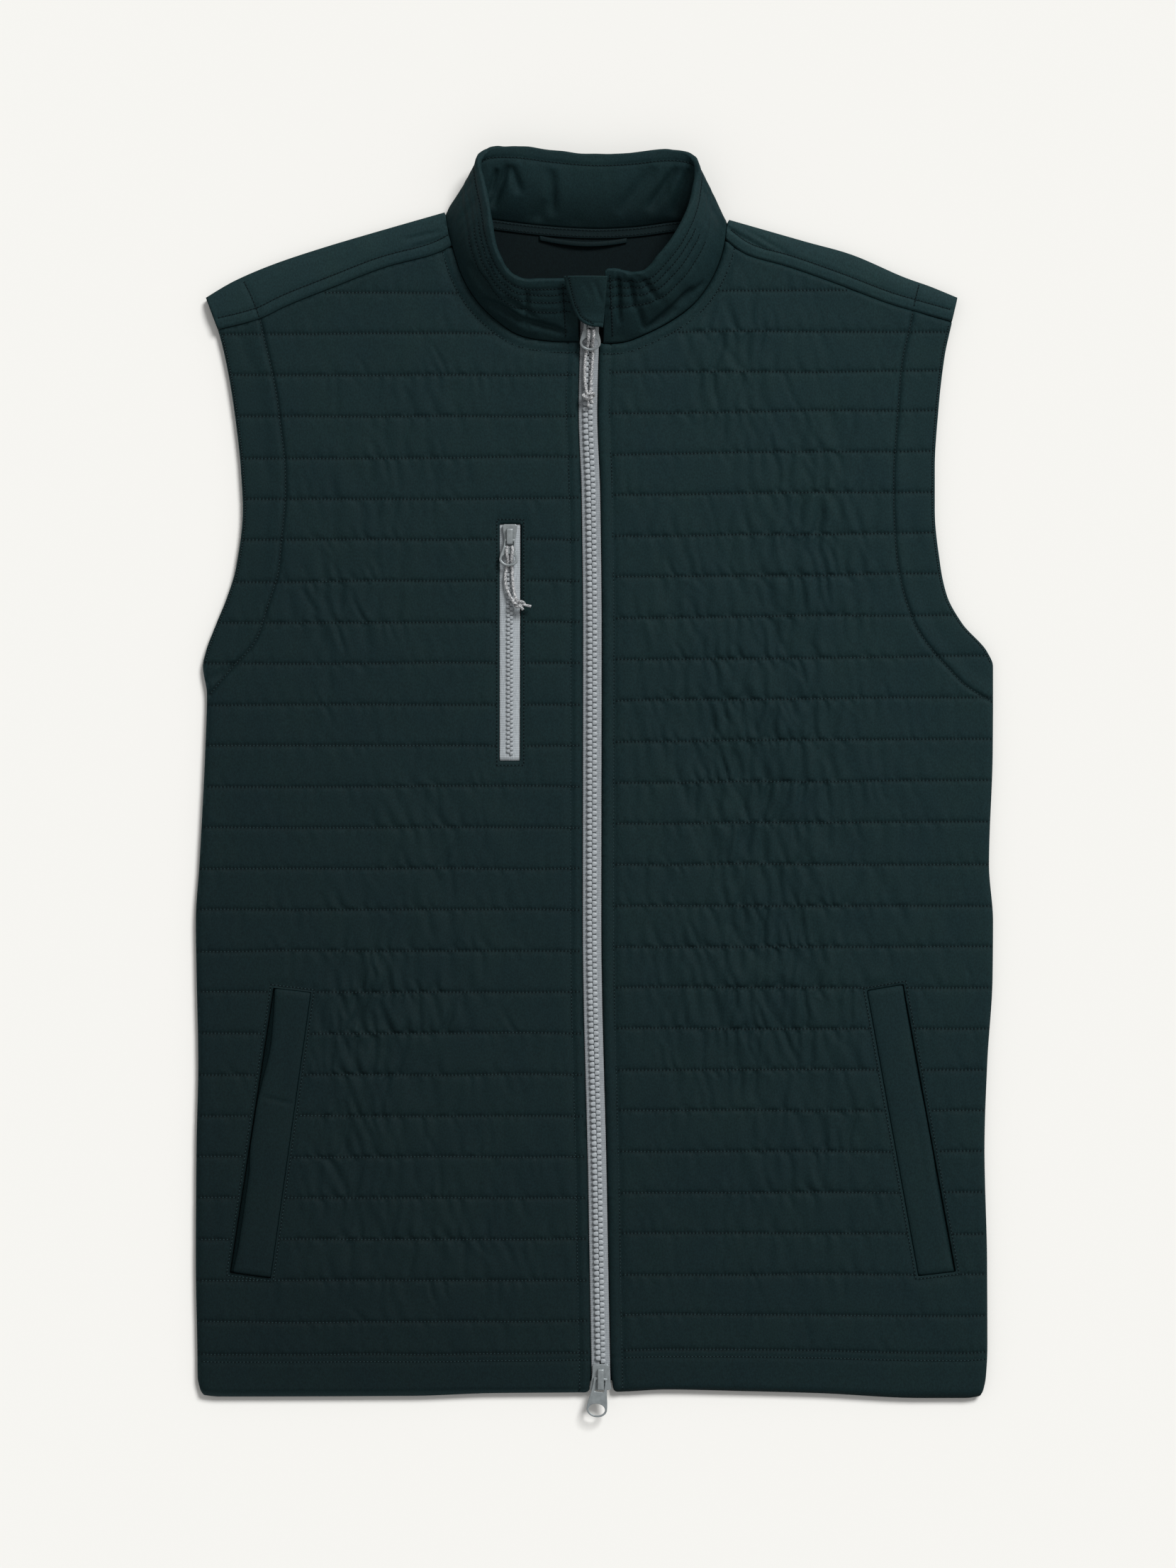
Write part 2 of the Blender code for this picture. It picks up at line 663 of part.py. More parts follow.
def build_yoke(side, collar):
    """Plain piece over the shoulder, between the forward seam and the fold."""
    if side == "right":
        neck = collar.edges(COLLAR_RIGHT_FOLD - 2, COLLAR_RIGHT_FOLD)
    else:
        neck = collar.edges(COLLAR_LEFT_FOLD, COLLAR_LEFT_FOLD + 2)[::-1]
    neck_x = straight_through(neck, flip=True)
    seams = [Vector(point) for point in YOKE_SEAM[side]]
    run = (seams[-1] - seams[0]).length
    loops = []
    for seam in seams:
        fold = along(SHOULDER_FOLD[side], clamp((seam - seams[0]).length / run))
        upper = []
        for part, wall in YOKE_PROFILE:
            point = seam.lerp(fold, part)
            if abs(point.x) < abs(neck_x(point.y)):
                point.x = neck_x(point.y)
            upper.append(Vector((point.x, point.y + YOKE_GAP * (1 - part), FRONT_FLOOR + wall)))
        lower = [Vector((p.x, p.y, FRONT_FLOOR)) for p in (upper[-1], upper[0])]
        loops.append(upper + lower)
    return loft("yoke_" + side, loops, "yoke")


def back_outline(collar):
    """Outline of the back panel, from the wearer's right hem corner up, over the neck and down the left."""
    heights = [row[0] for row in SIDE_ROWS]
    right = [(side_edge["right"](y), y) for y in reversed(heights)]
    left = [(side_edge["left"](y), y) for y in heights]
    neck = [tuple(p) for p in collar.edges(COLLAR_RIGHT_FOLD, COLLAR_LEFT_FOLD, BACK_NECK_GAP)]
    hem = list(HEM_ROWS[-2:0:-1])
    return (right + list(SHOULDER_FOLD["right"][1:-1]) + neck
            + list(SHOULDER_FOLD["left"][-2:0:-1]) + left + hem)


def inset(outline, distance):
    """The outline moved inwards; it runs clockwise as seen from above."""
    made = []
    for before, point, after in zip(outline[-1:] + outline[:-1], outline, outline[1:] + outline[:1]):
        run = Vector(after) - Vector(before)
        inward = Vector((run.y, -run.x)).normalized()
        made.append(tuple(Vector(point) + inward * distance))
    return made


def build_back(collar):
    outline = back_outline(collar)
    loops = []
    for share, distance in BACK_RINGS:
        loops.append([(x, y, share * BACK_WALL) for x, y in inset(outline, distance)])
    loft("back", loops, "lining")


def build_neck_inside(collar):
    """Tape over the back neck seam, and the hanger loop under it."""
    edge = straight_through([tuple(p) for p in collar.edges(COLLAR_RIGHT_FOLD + 2, COLLAR_LEFT_FOLD - 2)])
    low, high = FRONT_FLOOR, FRONT_FLOOR + NECK_TAPE_WALL
    tape = []
    for k in range(NECK_SPANS + 1):
        x = mix(*NECK_TAPE_REACH, k / NECK_SPANS)
        near = edge(x) - NECK_TAPE_BELOW_EDGE
        far = near - NECK_TAPE_WIDTH
        tape.append([(x, near, low), (x, near, high), (x, far, high), (x, far, low)])
    loft("neck_tape", tape, "lining")
    loop = []
    for k in range(NECK_SPANS + 1):
        share = k / NECK_SPANS
        x = mix(*LOOP_REACH, share)
        bow = math.sin(math.pi * share)
        near = edge(x) - NECK_TAPE_BELOW_EDGE - NECK_TAPE_WIDTH - SEAM_GAP - LOOP_DROP * bow
        far = near - LOOP_WIDTH
        low = FRONT_FLOOR + LOOP_RISE * bow
        high = low + LOOP_WALL
        loop.append([(x, near, low), (x, near, high), (x, far, high), (x, far, low)])
    loft("hanger_loop", loop, "shell")


def strip_along_zip(name, first, last, inner, outer, lift, wall, kind):
    """A strip that follows the zip between two heights, from one distance off its middle to another."""
    bend = RISE_START - 4 * RISE_SOFT
    below = math.ceil((bend - TAPE_BOTTOM) / ZIP_STEP)
    above = math.ceil((TAPE_TOP - bend) / ZIP_BEND_STEP)
    stations = [bend - ZIP_STEP * k for k in range(below, 0, -1)]
    stations += [bend + ZIP_BEND_STEP * k for k in range(above)]
    heights = [first] + [y for y in stations if first < y < last] + [last]
    loops = []
    for y in heights:
        low = zip_level(y) + lift
        high = low + wall
        near, far = zip_middle(y) + inner, zip_middle(y) + outer
        loops.append([(near, y, low), (near, y, high), (far, y, high), (far, y, low)])
    return loft(name, loops, kind)


def build_main_zip(chain_bottom, chain_top):
    for side, sign in SIDES.items():
        strip_along_zip("zip_tape_" + side, TAPE_BOTTOM, TAPE_TOP, sign * TAPE_SLOT,
                        sign * (TAPE_SLOT + TAPE_WIDTH), 0.0, TAPE_WALL, "zip_tape")
    strip_along_zip("zip_chain", chain_bottom, chain_top, -CHAIN_HALF, CHAIN_HALF,
                    TAPE_WALL + SEAM_GAP, CHAIN_WALL, "zip_plastic")


def build_slider(name, origin, tilt, rows, bridge, kind):
    """A slider whose body lies on the tapes: rows of (y, half width), and a bridge from one y to another."""
    right = [(half, y) for y, half in rows]
    left = [(-half, y) for y, half in reversed(rows)]
    body = extrude(name, right + left, 0.0, SLIDER_WALL, kind)
    start, end = bridge
    foot = SLIDER_WALL - BRIDGE_SUNK
    top = SLIDER_WALL + BRIDGE_RISE
    under = top - BRIDGE_WALL
    arch = [(start, foot), (start, top - BRIDGE_BEVEL), (start + BRIDGE_BEVEL, top),
            (end - BRIDGE_BEVEL, top), (end, top - BRIDGE_BEVEL), (end, foot),
            (end - BRIDGE_LEG, foot), (end - BRIDGE_LEG, under),
            (start + BRIDGE_LEG, under), (start + BRIDGE_LEG, foot)]
    loops = [[(x, y, z) for y, z in arch] for x in (-BRIDGE_HALF, BRIDGE_HALF)]
    bridge_piece = loft(name + "_bridge", loops, None)
    bridge_piece.parent = body
    combine(body, bridge_piece, "UNION")
    body.location = Vector(origin) * MM
    body.rotation_euler = (tilt, 0, 0)
    return body


def pull_outline(neck_half, ring_half, ring_at, tip_at, start=-BAR_HALF):
    """Outline of a pull tab, from its cross bar at y = 0 down to the round end of its ring."""
    steps = 7
    flank = []
    for k in range(steps):
        y = mix(start, ring_at, k / steps)
        flank.append((mix(neck_half, ring_half, smooth(y / ring_at) ** PULL_FLARE), -y))
    round_end = []
    turns = 16
    for k in range(turns + 1):
        angle = math.pi * k / turns
        round_end.append((ring_half * math.cos(angle), -ring_at - (tip_at - ring_at) * math.sin(angle)))
    return flank + round_end + [(-x, y) for x, y in reversed(flank)]


def build_pull(name, pivot, droop, lean, shape, hole, fork, kind):
    """A pull tab hinged on its cross bar: an oval hole at its end, and a fork round the slider's bridge."""
    plate = extrude(name, pull_outline(*shape), -0.5 * PULL_WALL, 0.5 * PULL_WALL, kind)
    ring = cutter(name + "_hole", ellipse(0.0, -hole[0], hole[1], hole[2], 20), -PULL_WALL, PULL_WALL)
    fork_end, clear = fork
    slot_half = BRIDGE_HALF + clear
    slot_outline = [(-slot_half, -fork_end), (slot_half, -fork_end),
                    (slot_half, -BAR_HALF), (-slot_half, -BAR_HALF)]
    slot = cutter(name + "_fork", slot_outline, -PULL_WALL, PULL_WALL)
    for tool in (ring, slot):
        tool.parent = plate
        combine(plate, tool, "DIFFERENCE")
    plate.location = Vector(pivot) * MM
    plate.rotation_euler = (droop, 0, lean)
    return plate


def build_cord(name, route):
    """A cord strand on a smooth curve through its route, in millimetres."""
    points = spline_rows(route, CORD_BETWEEN)
    curve = bpy.data.curves.new(name, "CURVE")
    curve.dimensions = "3D"
    curve.bevel_depth = CORD_RADIUS * MM
    curve.bevel_resolution = 2
    curve.use_fill_caps = True
    spline = curve.splines.new("POLY")
    spline.points.add(len(points) - 1)
    for target, point in zip(spline.points, points):
        target.co = (*(Vector(point) * MM), 1.0)
    curve.materials.append(finish_for(name, "cord"))
    obj = bpy.data.objects.new(name, curve)
    bpy.context.scene.collection.objects.link(obj)


def build_knot(name, centre, halves, turn, ends):
    """An overhand knot drawn tight: a rounded body with the cord's cut ends standing out of it."""
    rings, around = 8, 12
    loops = []
    for k in range(1, rings):
        polar = math.pi * k / rings
        loops.append([
            (halves[0] * math.sin(polar) * math.cos(math.tau * i / around),
             -halves[1] * math.cos(polar),
             halves[2] * math.sin(polar) * math.sin(math.tau * i / around))
            for i in range(around)
        ])
    knot = loft(name, loops, "cord")
    for number, (tip_x, tip_y, tip_z) in enumerate(ends):
        run = Vector((tip_x, tip_y, tip_z))
        side_on = run.cross(Vector((0, 0, 1))).normalized()
        over = run.cross(side_on).normalized()
        tail = []
        for share in (KNOT_END_ROOT, 1.0):
            rim = ellipse(0.0, 0.0, CORD_RADIUS, CORD_RADIUS, 8)
            tail.append([run * share + side_on * a + over * b for a, b in rim])
        piece = loft(f"{name}_end_{number}", tail, None)
        piece.parent = knot
        combine(knot, piece, "UNION")
    knot.location = Vector(centre) * MM
    knot.rotation_euler = (0, 0, turn)


def welt_window(side, margin):
    """Corners of the pocket's window: the welt's outline, the slit beside it and a margin all round."""
    top_outer, top_inner, bottom_inner, bottom_outer = (Vector(c) for c in WELT_CORNERS[side])
    down = (bottom_inner - top_inner).normalized() * margin
    top_run = (top_outer - top_inner).normalized()
    bottom_run = (bottom_outer - bottom_inner).normalized()
    slit = WELT_SLIT + margin
    return [top_outer + top_run * slit - down, top_inner - top_run * margin - down,
            bottom_inner - bottom_run * margin + down, bottom_outer + bottom_run * slit + down]


def build_welt(side, front):
    """The hand pocket's welt in its window, with the slit open along the edge nearest to the side."""
    corners = [tuple(p) for p in welt_window(side, SEAM_GAP)]
    combine(front, cutter("welt_window_" + side, corners, CUTTER_LOW, CUTTER_HIGH), "DIFFERENCE")
    top_outer, top_inner, bottom_inner, bottom_outer = (Vector(c) for c in WELT_CORNERS[side])
    loops = []
    for k in range(WELT_STATIONS):
        share = k / (WELT_STATIONS - 1)
        outer = top_outer.lerp(bottom_outer, share)
        inner = top_inner.lerp(bottom_inner, share)
        upper = [(*outer.lerp(inner, part), FRONT_FLOOR + wall) for part, wall in WELT_PROFILE]
        loops.append(upper + [(*inner, FRONT_FLOOR), (*outer, FRONT_FLOOR)])
    loft("welt_" + side, loops, "shell")


def build_chest_zip(front):
    """The chest pocket's window in the wearer's right front, with its zip tape and coil."""
    box = [(CHEST_X - CHEST_HALF, CHEST_BOTTOM), (CHEST_X + CHEST_HALF, CHEST_BOTTOM),
           (CHEST_X + CHEST_HALF, CHEST_TOP), (CHEST_X - CHEST_HALF, CHEST_TOP)]
    combine(front, cutter("chest_window", box, CUTTER_LOW, CUTTER_HIGH), "DIFFERENCE")
    half = CHEST_HALF - SEAM_GAP
    tape = [(CHEST_X + a * half, b) for a, b in (
        (-1, CHEST_BOTTOM + SEAM_GAP), (1, CHEST_BOTTOM + SEAM_GAP),
        (1, CHEST_TOP - SEAM_GAP), (-1, CHEST_TOP - SEAM_GAP))]
    extrude("chest_zip_tape", tape, CHEST_FLOOR, CHEST_FLOOR + TAPE_WALL, "zip_tape")
    low = CHEST_FLOOR + TAPE_WALL + SEAM_GAP
    chain = [(CHEST_X + a * CHEST_CHAIN_HALF, b) for a, b in (
        (-1, CHEST_BOTTOM + CHEST_STOP), (1, CHEST_BOTTOM + CHEST_STOP),
        (1, CHEST_SLIDER_LOW - SEAM_GAP), (-1, CHEST_SLIDER_LOW - SEAM_GAP))]
    extrude("chest_zip_chain", chain, low, low + CHEST_CHAIN_WALL, "zip_plastic")


def build_garage():
    """Flap over the top of the zip: it lies on both collar ends and arches over the slider."""
    loops = []
    for y, free, fixed in GARAGE_ROWS:
        under = []
        for k in range(GARAGE_COLUMNS):
            x = mix(free, fixed, k / (GARAGE_COLUMNS - 1))
            across = clamp((x - GARAGE_RIGHT_ROOT) / (GARAGE_LEFT_ROOT - GARAGE_RIGHT_ROOT))
            lip = GARAGE_LIP * (1 - smooth((y - GARAGE_ROWS[0][0]) / GARAGE_LIP_REACH))
            lift = GARAGE_LIFT + lip + GARAGE_ARCH * math.sin(math.pi * across)
            under.append(Vector((x, y, zip_level(y) + lift)))
        over = [p + Vector((0, -RISE_SLOPE * 0.5, 1.0)) * GARAGE_WALL for p in under]
        loops.append(under + over[::-1])
    loft("zip_garage", loops, "yoke")


def pivot_of(origin, tilt, along_slider):
    """Point on a pull's hinge axis, from its slider's origin and tilt."""
    local = Vector((0, along_slider, SLIDER_WALL + PIVOT_ABOVE_BODY))
    return Vector(origin) + Euler((tilt, 0, 0)).to_matrix() @ local


def build_zip_hardware():
    tape_top = TAPE_WALL + SEAM_GAP
    bottom = (zip_middle(BOTTOM_SLIDER_TOP), BOTTOM_SLIDER_TOP, zip_level(BOTTOM_SLIDER_TOP) + tape_top)
    build_slider("zip_slider_bottom", bottom, 0.0, BOTTOM_SLIDER_ROWS, BOTTOM_BRIDGE, "zip_metal")
    build_pull("zip_pull_bottom", pivot_of(bottom, 0.0, -BOTTOM_PIVOT_DOWN), BOTTOM_DROOP, BOTTOM_LEAN,
               BOTTOM_PULL, BOTTOM_HOLE, BOTTOM_FORK, "zip_metal")
    chest = (CHEST_X, CHEST_SLIDER_LOW, CHEST_FLOOR + tape_top)
    build_slider("chest_zip_slider", chest, 0.0, CHEST_SLIDER_ROWS, CHEST_BRIDGE, "zip_metal")
    build_pull("chest_zip_pull", pivot_of(chest, 0.0, CHEST_PIVOT_UP), CHEST_DROOP, CHEST_LEAN,
               CHEST_PULL, CHEST_HOLE, CHEST_FORK, "zip_metal")
    slope = math.atan(RISE_SLOPE)
    top = (TOP_SLIDER_X, TOP_SLIDER_LOW, zip_level(TOP_SLIDER_LOW) + tape_top + SEAM_GAP)
    build_slider("zip_slider_top", top, slope, TOP_SLIDER_ROWS, TOP_BRIDGE, "zip_metal")
    build_pull("zip_pull_top", pivot_of(top, slope, TOP_PIVOT_UP), TOP_DROOP, TOP_LEAN,
               TOP_PULL, TOP_HOLE, TOP_FORK, "zip_metal")


def main():
    clear_scene()
    collar = Collar()
    collar.build()
    build_back(collar)
    fronts = {side: Front(side, collar).build() for side in SIDES}
    for side in SIDES:
        build_yoke(side, collar)
        build_welt(side, fronts[side])
    build_neck_inside(collar)
    build_chest_zip(fronts["right"])
    build_main_zip(BOTTOM_SLIDER_TOP + SEAM_GAP, TOP_SLIDER_LOW - CHAIN_BELOW_SLIDER)
    build_garage()
    build_zip_hardware()
    for name, route in CORD_ROUTES.items():
        build_cord(name, route)
    for knot in KNOTS:
        build_knot(*knot)


main()
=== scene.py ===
"""Looks of a quilted zip vest laid flat: cloth shells, stitching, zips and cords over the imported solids.

The tables are in millimetres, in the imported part's frame: +X is the wearer's left, +Y runs from the hem to
the collar, and +Z is up from the surface that the back lies on.
"""

import math

import bpy
import numpy as np
from mathutils import Euler, Matrix, Vector
from mathutils.geometry import delaunay_2d_cdt
from mathutils.kdtree import KDTree


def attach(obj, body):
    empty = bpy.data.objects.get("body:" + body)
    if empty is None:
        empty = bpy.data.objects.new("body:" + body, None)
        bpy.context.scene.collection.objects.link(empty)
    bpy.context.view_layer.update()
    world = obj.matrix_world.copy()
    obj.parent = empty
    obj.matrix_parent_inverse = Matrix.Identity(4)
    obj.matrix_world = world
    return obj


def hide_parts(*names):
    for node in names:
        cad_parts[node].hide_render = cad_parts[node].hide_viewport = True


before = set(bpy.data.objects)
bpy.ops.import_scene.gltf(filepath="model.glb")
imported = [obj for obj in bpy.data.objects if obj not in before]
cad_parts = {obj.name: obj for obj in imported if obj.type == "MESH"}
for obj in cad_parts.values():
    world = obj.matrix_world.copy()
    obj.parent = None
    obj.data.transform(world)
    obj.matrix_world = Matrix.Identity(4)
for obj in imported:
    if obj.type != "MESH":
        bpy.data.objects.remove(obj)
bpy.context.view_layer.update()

MM = 0.001
SIDES = {"right": -1, "left": 1}
UPRIGHT = (0.0, 0.0, 1.0)

# Steps of the meshes: along edges, rows worked out between those of an edge or a line, and cells of noise
EDGE_STEP = 1.4
EDGE_BETWEEN = 6
LINE_BETWEEN = 8
NOISE_CELLS = 128
SAME_POINT = 1e-7
SHARP_FROM = math.radians(40)

# Walls and clearances of the solids
SEAM_GAP = 0.3
FRONT_FLOOR = 3.3
STITCH_WALL = 2.4
NECK_GAP = 0.2
BACK_NECK_GAP = 1.5
LEAST_WALL = 0.25
YOKE_GAP = 0.2

# Edge of the body at each height: the wearer's right side and the wearer's left side
SIDE_ROWS = (
    # height, right, left
    (300.5, -240.9, 225.0),
    (284.7, -234.7, 221.5),
    (263.6, -229.0, 217.0),
    (230.6, -223.3, 213.2),
    (195.0, -219.3, 211.0),
    (169.0, -218.0, 211.0),
    (134.0, -222.0, 214.5),
    (116.0, -227.3, 218.5),
    (98.6, -234.3, 228.0),
    (81.0, -240.9, 243.5),
    (72.0, -242.7, 247.1),
    (54.6, -240.2, 247.1),
    (19.0, -241.3, 246.9),
    (-51.0, -244.9, 244.6),
    (-86.0, -247.1, 247.1),
    (-121.0, -246.6, 246.8),
    (-174.0, -245.6, 243.5),
    (-227.0, -246.7, 241.8),
    (-297.0, -247.1, 243.4),
    (-350.0, -246.2, 243.6),
    (-368.0, -246.0, 242.7),
    (-381.0, -243.0, 240.0),
)

# Hem line from the wearer's right to the wearer's left
HEM_ROWS = (
    # x, y
    (-247.0, -379.0),
    (-232.0, -380.6),
    (-114.0, -380.2),
    (-61.0, -378.4),
    (-8.0, -378.0),
    (18.0, -377.5),
    (45.0, -376.2),
    (84.0, -377.0),
    (137.0, -378.4),
    (203.0, -381.5),
    (229.0, -381.5),
    (248.0, -378.5),
)

# Forward shoulder seam, and the fold along the top of the shoulder, from the armhole to the neck
YOKE_SEAM = {
    "right": ((-233.4, 280.5), (-208.0, 287.0), (-190.0, 295.5), (-160.0, 307.5),
              (-130.0, 319.0), (-100.0, 327.0), (-84.0, 335.0)),
    "left": ((221.5, 285.5), (200.0, 291.5), (180.0, 297.5), (150.0, 309.0),
             (120.0, 319.5), (100.0, 325.0), (90.0, 329.5), (78.0, 339.0)),
}
SHOULDER_FOLD = {
    "right": ((-240.9, 300.5), (-223.0, 311.0), (-198.0, 321.6), (-166.0, 332.2),
              (-130.0, 342.8), (-93.0, 353.4)),
    "left": ((225.0, 300.5), (208.0, 307.5), (190.0, 314.0), (160.0, 327.0),
             (130.0, 335.5), (83.5, 348.8)),
}
YOKE_PROFILE = (
    # share of the way from seam to fold, wall
    (0.0, 1.9),
    (0.08, 2.9),
    (0.35, 3.3),
    (0.65, 3.1),
    (0.88, 2.2),
    (1.0, 1.0),
)
YOKE_TOPSTITCH = 7.0
YOKE_WAVE = 0.3
YOKE_CELL = (13.0, 24.0)
YOKE_SEED = 61
YOKE_GROOVE = (0.5, 1.3)
YOKE_ARMHOLE_GROOVE = (0.6, 1.6)
YOKE_CREASES = {
    # start x, start y, end x, end y, half width, depth
    "right": ((-119.0, 336.0, -93.0, 342.0, 1.4, 0.9), (-115.0, 331.0, -92.0, 337.5, 1.4, 0.8)),
    "left": ((81.0, 344.0, 110.0, 328.0, 1.4, 0.9), (92.0, 343.5, 122.0, 326.5, 1.4, 0.6)),
}

# Back: rings round its edge as (distance in, height), and how far its hem lies behind the fronts' hem
BACK_RINGS = ((2.4, 0.0), (0.9, 0.1), (0.2, 1.0), (0.2, 2.0), (0.9, 2.75), (2.4, 2.9))
BACK_STEP = 5.0
BACK_WAVE = 0.1
BACK_CELL = (21.0, 30.0)
BACK_SEED = 71
BACK_EDGE_STEP = 3.0
BACK_CLEAR = 4.5
LINING_TURN = 0.9
SIDE_FOOT = -377.0
BACK_HEM_REACH = (238.0, -241.0)
BACK_HEM_RISE = 0.8
BACK_ZIP_RISE = 7.5
BACK_ZIP_REACH = 13.0

# Quilting: rows of stitches, their rise towards the armhole, and the swell between them
QUILT_FIRST = {"right": 303.6, "left": 304.8}
QUILT_PITCH = {"right": 25.5, "left": 25.4}
QUILT_ROWS = 26
QUILT_TILT = {"right": -0.6, "left": 2.5}
QUILT_WANDER = 0.5
TILT_FROM = -100.0
TILT_RUN = 200.0
TILT_BELOW_YOKE = 6.0
TILT_END_RUN = 60.0
HEM_STITCH = {"right": -353.8, "left": -352.4}
HEM_SECOND_ROW = 4.6
HEM_LEVEL = -379.0
HEM_FOLLOWED = 0.6
HEM_FOLLOWED_FROM = 60.0
HEM_FOLLOWED_RUN = 80.0
WANDER_CELL = (46.0, 25.0)
WANDER_SEED = 21
BROAD_CELL = (13.0, 31.0)
BROAD_LEAN = 90.0
BROAD_SEED = 42
HEM_RIPPLE = 0.25
TOP_LEVEL = 345.0
SWELL = 0.58
SWELL_POWER = 7.0
HEM_SWELL = 0.35
PANEL_WIDE = 246.0
PANEL_REACH = 250.0
GRID_STEP = 1.7
ROW_STEPS = (0.0, 0.85, 1.8, 3.0)
TICK_DEPTH = 0.35
TICK_REACH = 1.25

# Puckers that start at the rows: how deep, how far apart, and where they are strongest
PUCKER_DEPTH = 2.1
PUCKER_EVERY = 6.5
PUCKER_HALF = (1.3, 2.9)
PUCKER_SEED = 80
PUCKER_CHANCE = (0.3, 0.7)
PUCKER_REACH = (0.25, 0.6, 0.5)
PUCKER_SHARES = (0.35, 1.0)
PUCKER_SPREAD = (0.5, 1.5)
PUCKER_RIDGE = (0.45, 2.1, 1.2)
PUCKER_FADE = 0.8
PUCKER_RUN = 2.2
PUCKER_BENDS = 4.0
PUCKER_SLANT = 0.2
PUCKER_SWAY = 1.2
PUCKER_LIMITS = (-1.5, 1.0)
PUCKER_BASE = {"right": 0.2, "left": 0.26}
PUCKER_PATCHES = {
    "right": (
        # x, y, reach across, reach along, strength
        (-116.0, 195.0, 34.0, 40.0, 0.5),
        (-160.0, 108.0, 30.0, 50.0, 0.6),
        (-95.0, 250.0, 40.0, 30.0, 0.3),
        (-135.0, -145.0, 34.0, 45.0, 0.8),
        (-100.0, -285.0, 60.0, 40.0, 0.35),
        (-95.0, -30.0, 40.0, 50.0, 0.3),
        (-158.0, -215.0, 22.0, 80.0, 0.5),
        (-105.0, -175.0, 80.0, 150.0, 0.3),
    ),
    "left": (
        (84.0, 258.0, 34.0, 34.0, 0.8),
        (132.0, 155.0, 34.0, 60.0, 0.9),
        (104.0, 25.0, 52.0, 70.0, 1.0),
        (110.0, -122.0, 60.0, 60.0, 0.85),
        (50.0, 110.0, 30.0, 60.0, 0.4),
        (140.0, -230.0, 50.0, 60.0, 0.35),
        (95.0, -100.0, 80.0, 170.0, 0.25),
    ),
}

# Main creases of the fronts, as lines that the cloth sinks along
FRONT_CREASES = {
    "right": (
        # start x, start y, end x, end y, half width, depth
        (-142.0, 311.0, -153.0, 296.0, 1.5, 0.6),
        (-170.0, 299.0, -177.0, 281.0, 1.6, 0.5),
        (-184.0, 294.0, -193.0, 280.0, 1.5, 0.5),
        (-116.0, 243.0, -109.0, 222.0, 2.2, 0.5),
        (-119.0, 116.0, -124.0, 97.0, 1.9, 0.8),
        (-137.0, 144.0, -132.0, 127.0, 2.0, 0.5),
        (-181.0, 137.0, -179.0, 128.0, 1.6, 0.5),
        (-183.0, 122.0, -171.0, 104.0, 2.0, 0.8),
        (-159.0, 120.0, -157.0, 95.0, 2.0, 0.7),
        (-164.0, 198.0, -160.0, 142.0, 2.6, 0.5),
        (-239.0, 62.0, -222.0, 75.0, 2.4, 1.6),
        (-120.0, 216.0, -112.0, 190.0, 2.2, 0.6),
        (-104.0, 207.0, -98.0, 181.0, 2.2, 0.5),
        (-150.0, -106.0, -146.0, -128.0, 1.8, 0.6),
        (-138.0, -132.0, -140.0, -152.0, 1.8, 0.6),
        (-128.0, -128.0, -124.0, -146.0, 1.6, 0.6),
        (-117.0, -158.0, -113.0, -178.0, 1.8, 0.5),
        (-102.0, 60.0, -98.0, 30.0, 2.4, 0.4),
        (-206.0, -195.0, -203.0, -230.0, 2.4, 0.3),
        (-90.0, -262.0, -84.0, -292.0, 2.4, 0.4),
        (-128.0, -270.0, -125.0, -300.0, 2.4, 0.4),
    ),
    "left": (
        (114.5, 89.8, 117.8, 79.6, 1.7, 0.8),
        (120.0, 75.4, 128.8, 63.8, 1.8, 0.9),
        (70.7, 65.4, 69.8, 54.5, 1.7, 0.7),
        (69.8, 52.7, 74.9, 28.3, 2.2, 0.9),
        (87.5, 20.0, 91.7, 3.0, 2.0, 0.9),
        (79.0, 15.7, 82.5, 3.9, 1.7, 0.7),
        (83.0, 272.0, 90.0, 254.0, 2.0, 0.9),
        (72.0, 258.0, 76.0, 236.0, 2.0, 0.6),
        (96.0, 249.0, 92.0, 232.0, 1.8, 0.6),
        (128.0, 204.0, 134.0, 184.0, 2.0, 0.8),
        (141.0, 182.0, 138.0, 158.0, 1.8, 0.7),
        (121.0, 157.0, 127.0, 134.0, 2.0, 0.8),
        (150.0, 152.0, 146.0, 130.0, 1.8, 0.6),
        (98.0, 127.0, 104.0, 106.0, 2.0, 0.8),
        (60.0, -2.0, 64.0, -22.0, 1.9, 0.7),
        (108.0, -4.0, 103.0, -24.0, 1.9, 0.8),
        (92.0, -30.0, 96.0, -48.0, 1.9, 0.8),
        (124.0, -54.0, 119.0, -74.0, 1.9, 0.6),
        (84.0, -84.0, 90.0, -102.0, 1.9, 0.7),
        (130.0, -108.0, 134.0, -128.0, 1.9, 0.7),
        (152.0, -134.0, 149.0, -152.0, 1.8, 0.6),
        (112.0, -134.0, 108.0, -153.0, 1.8, 0.6),
        (150.0, -232.0, 154.0, -256.0, 2.2, 0.5),
        (196.0, 168.0, 193.0, 100.0, 4.5, 0.7),
    ),
}

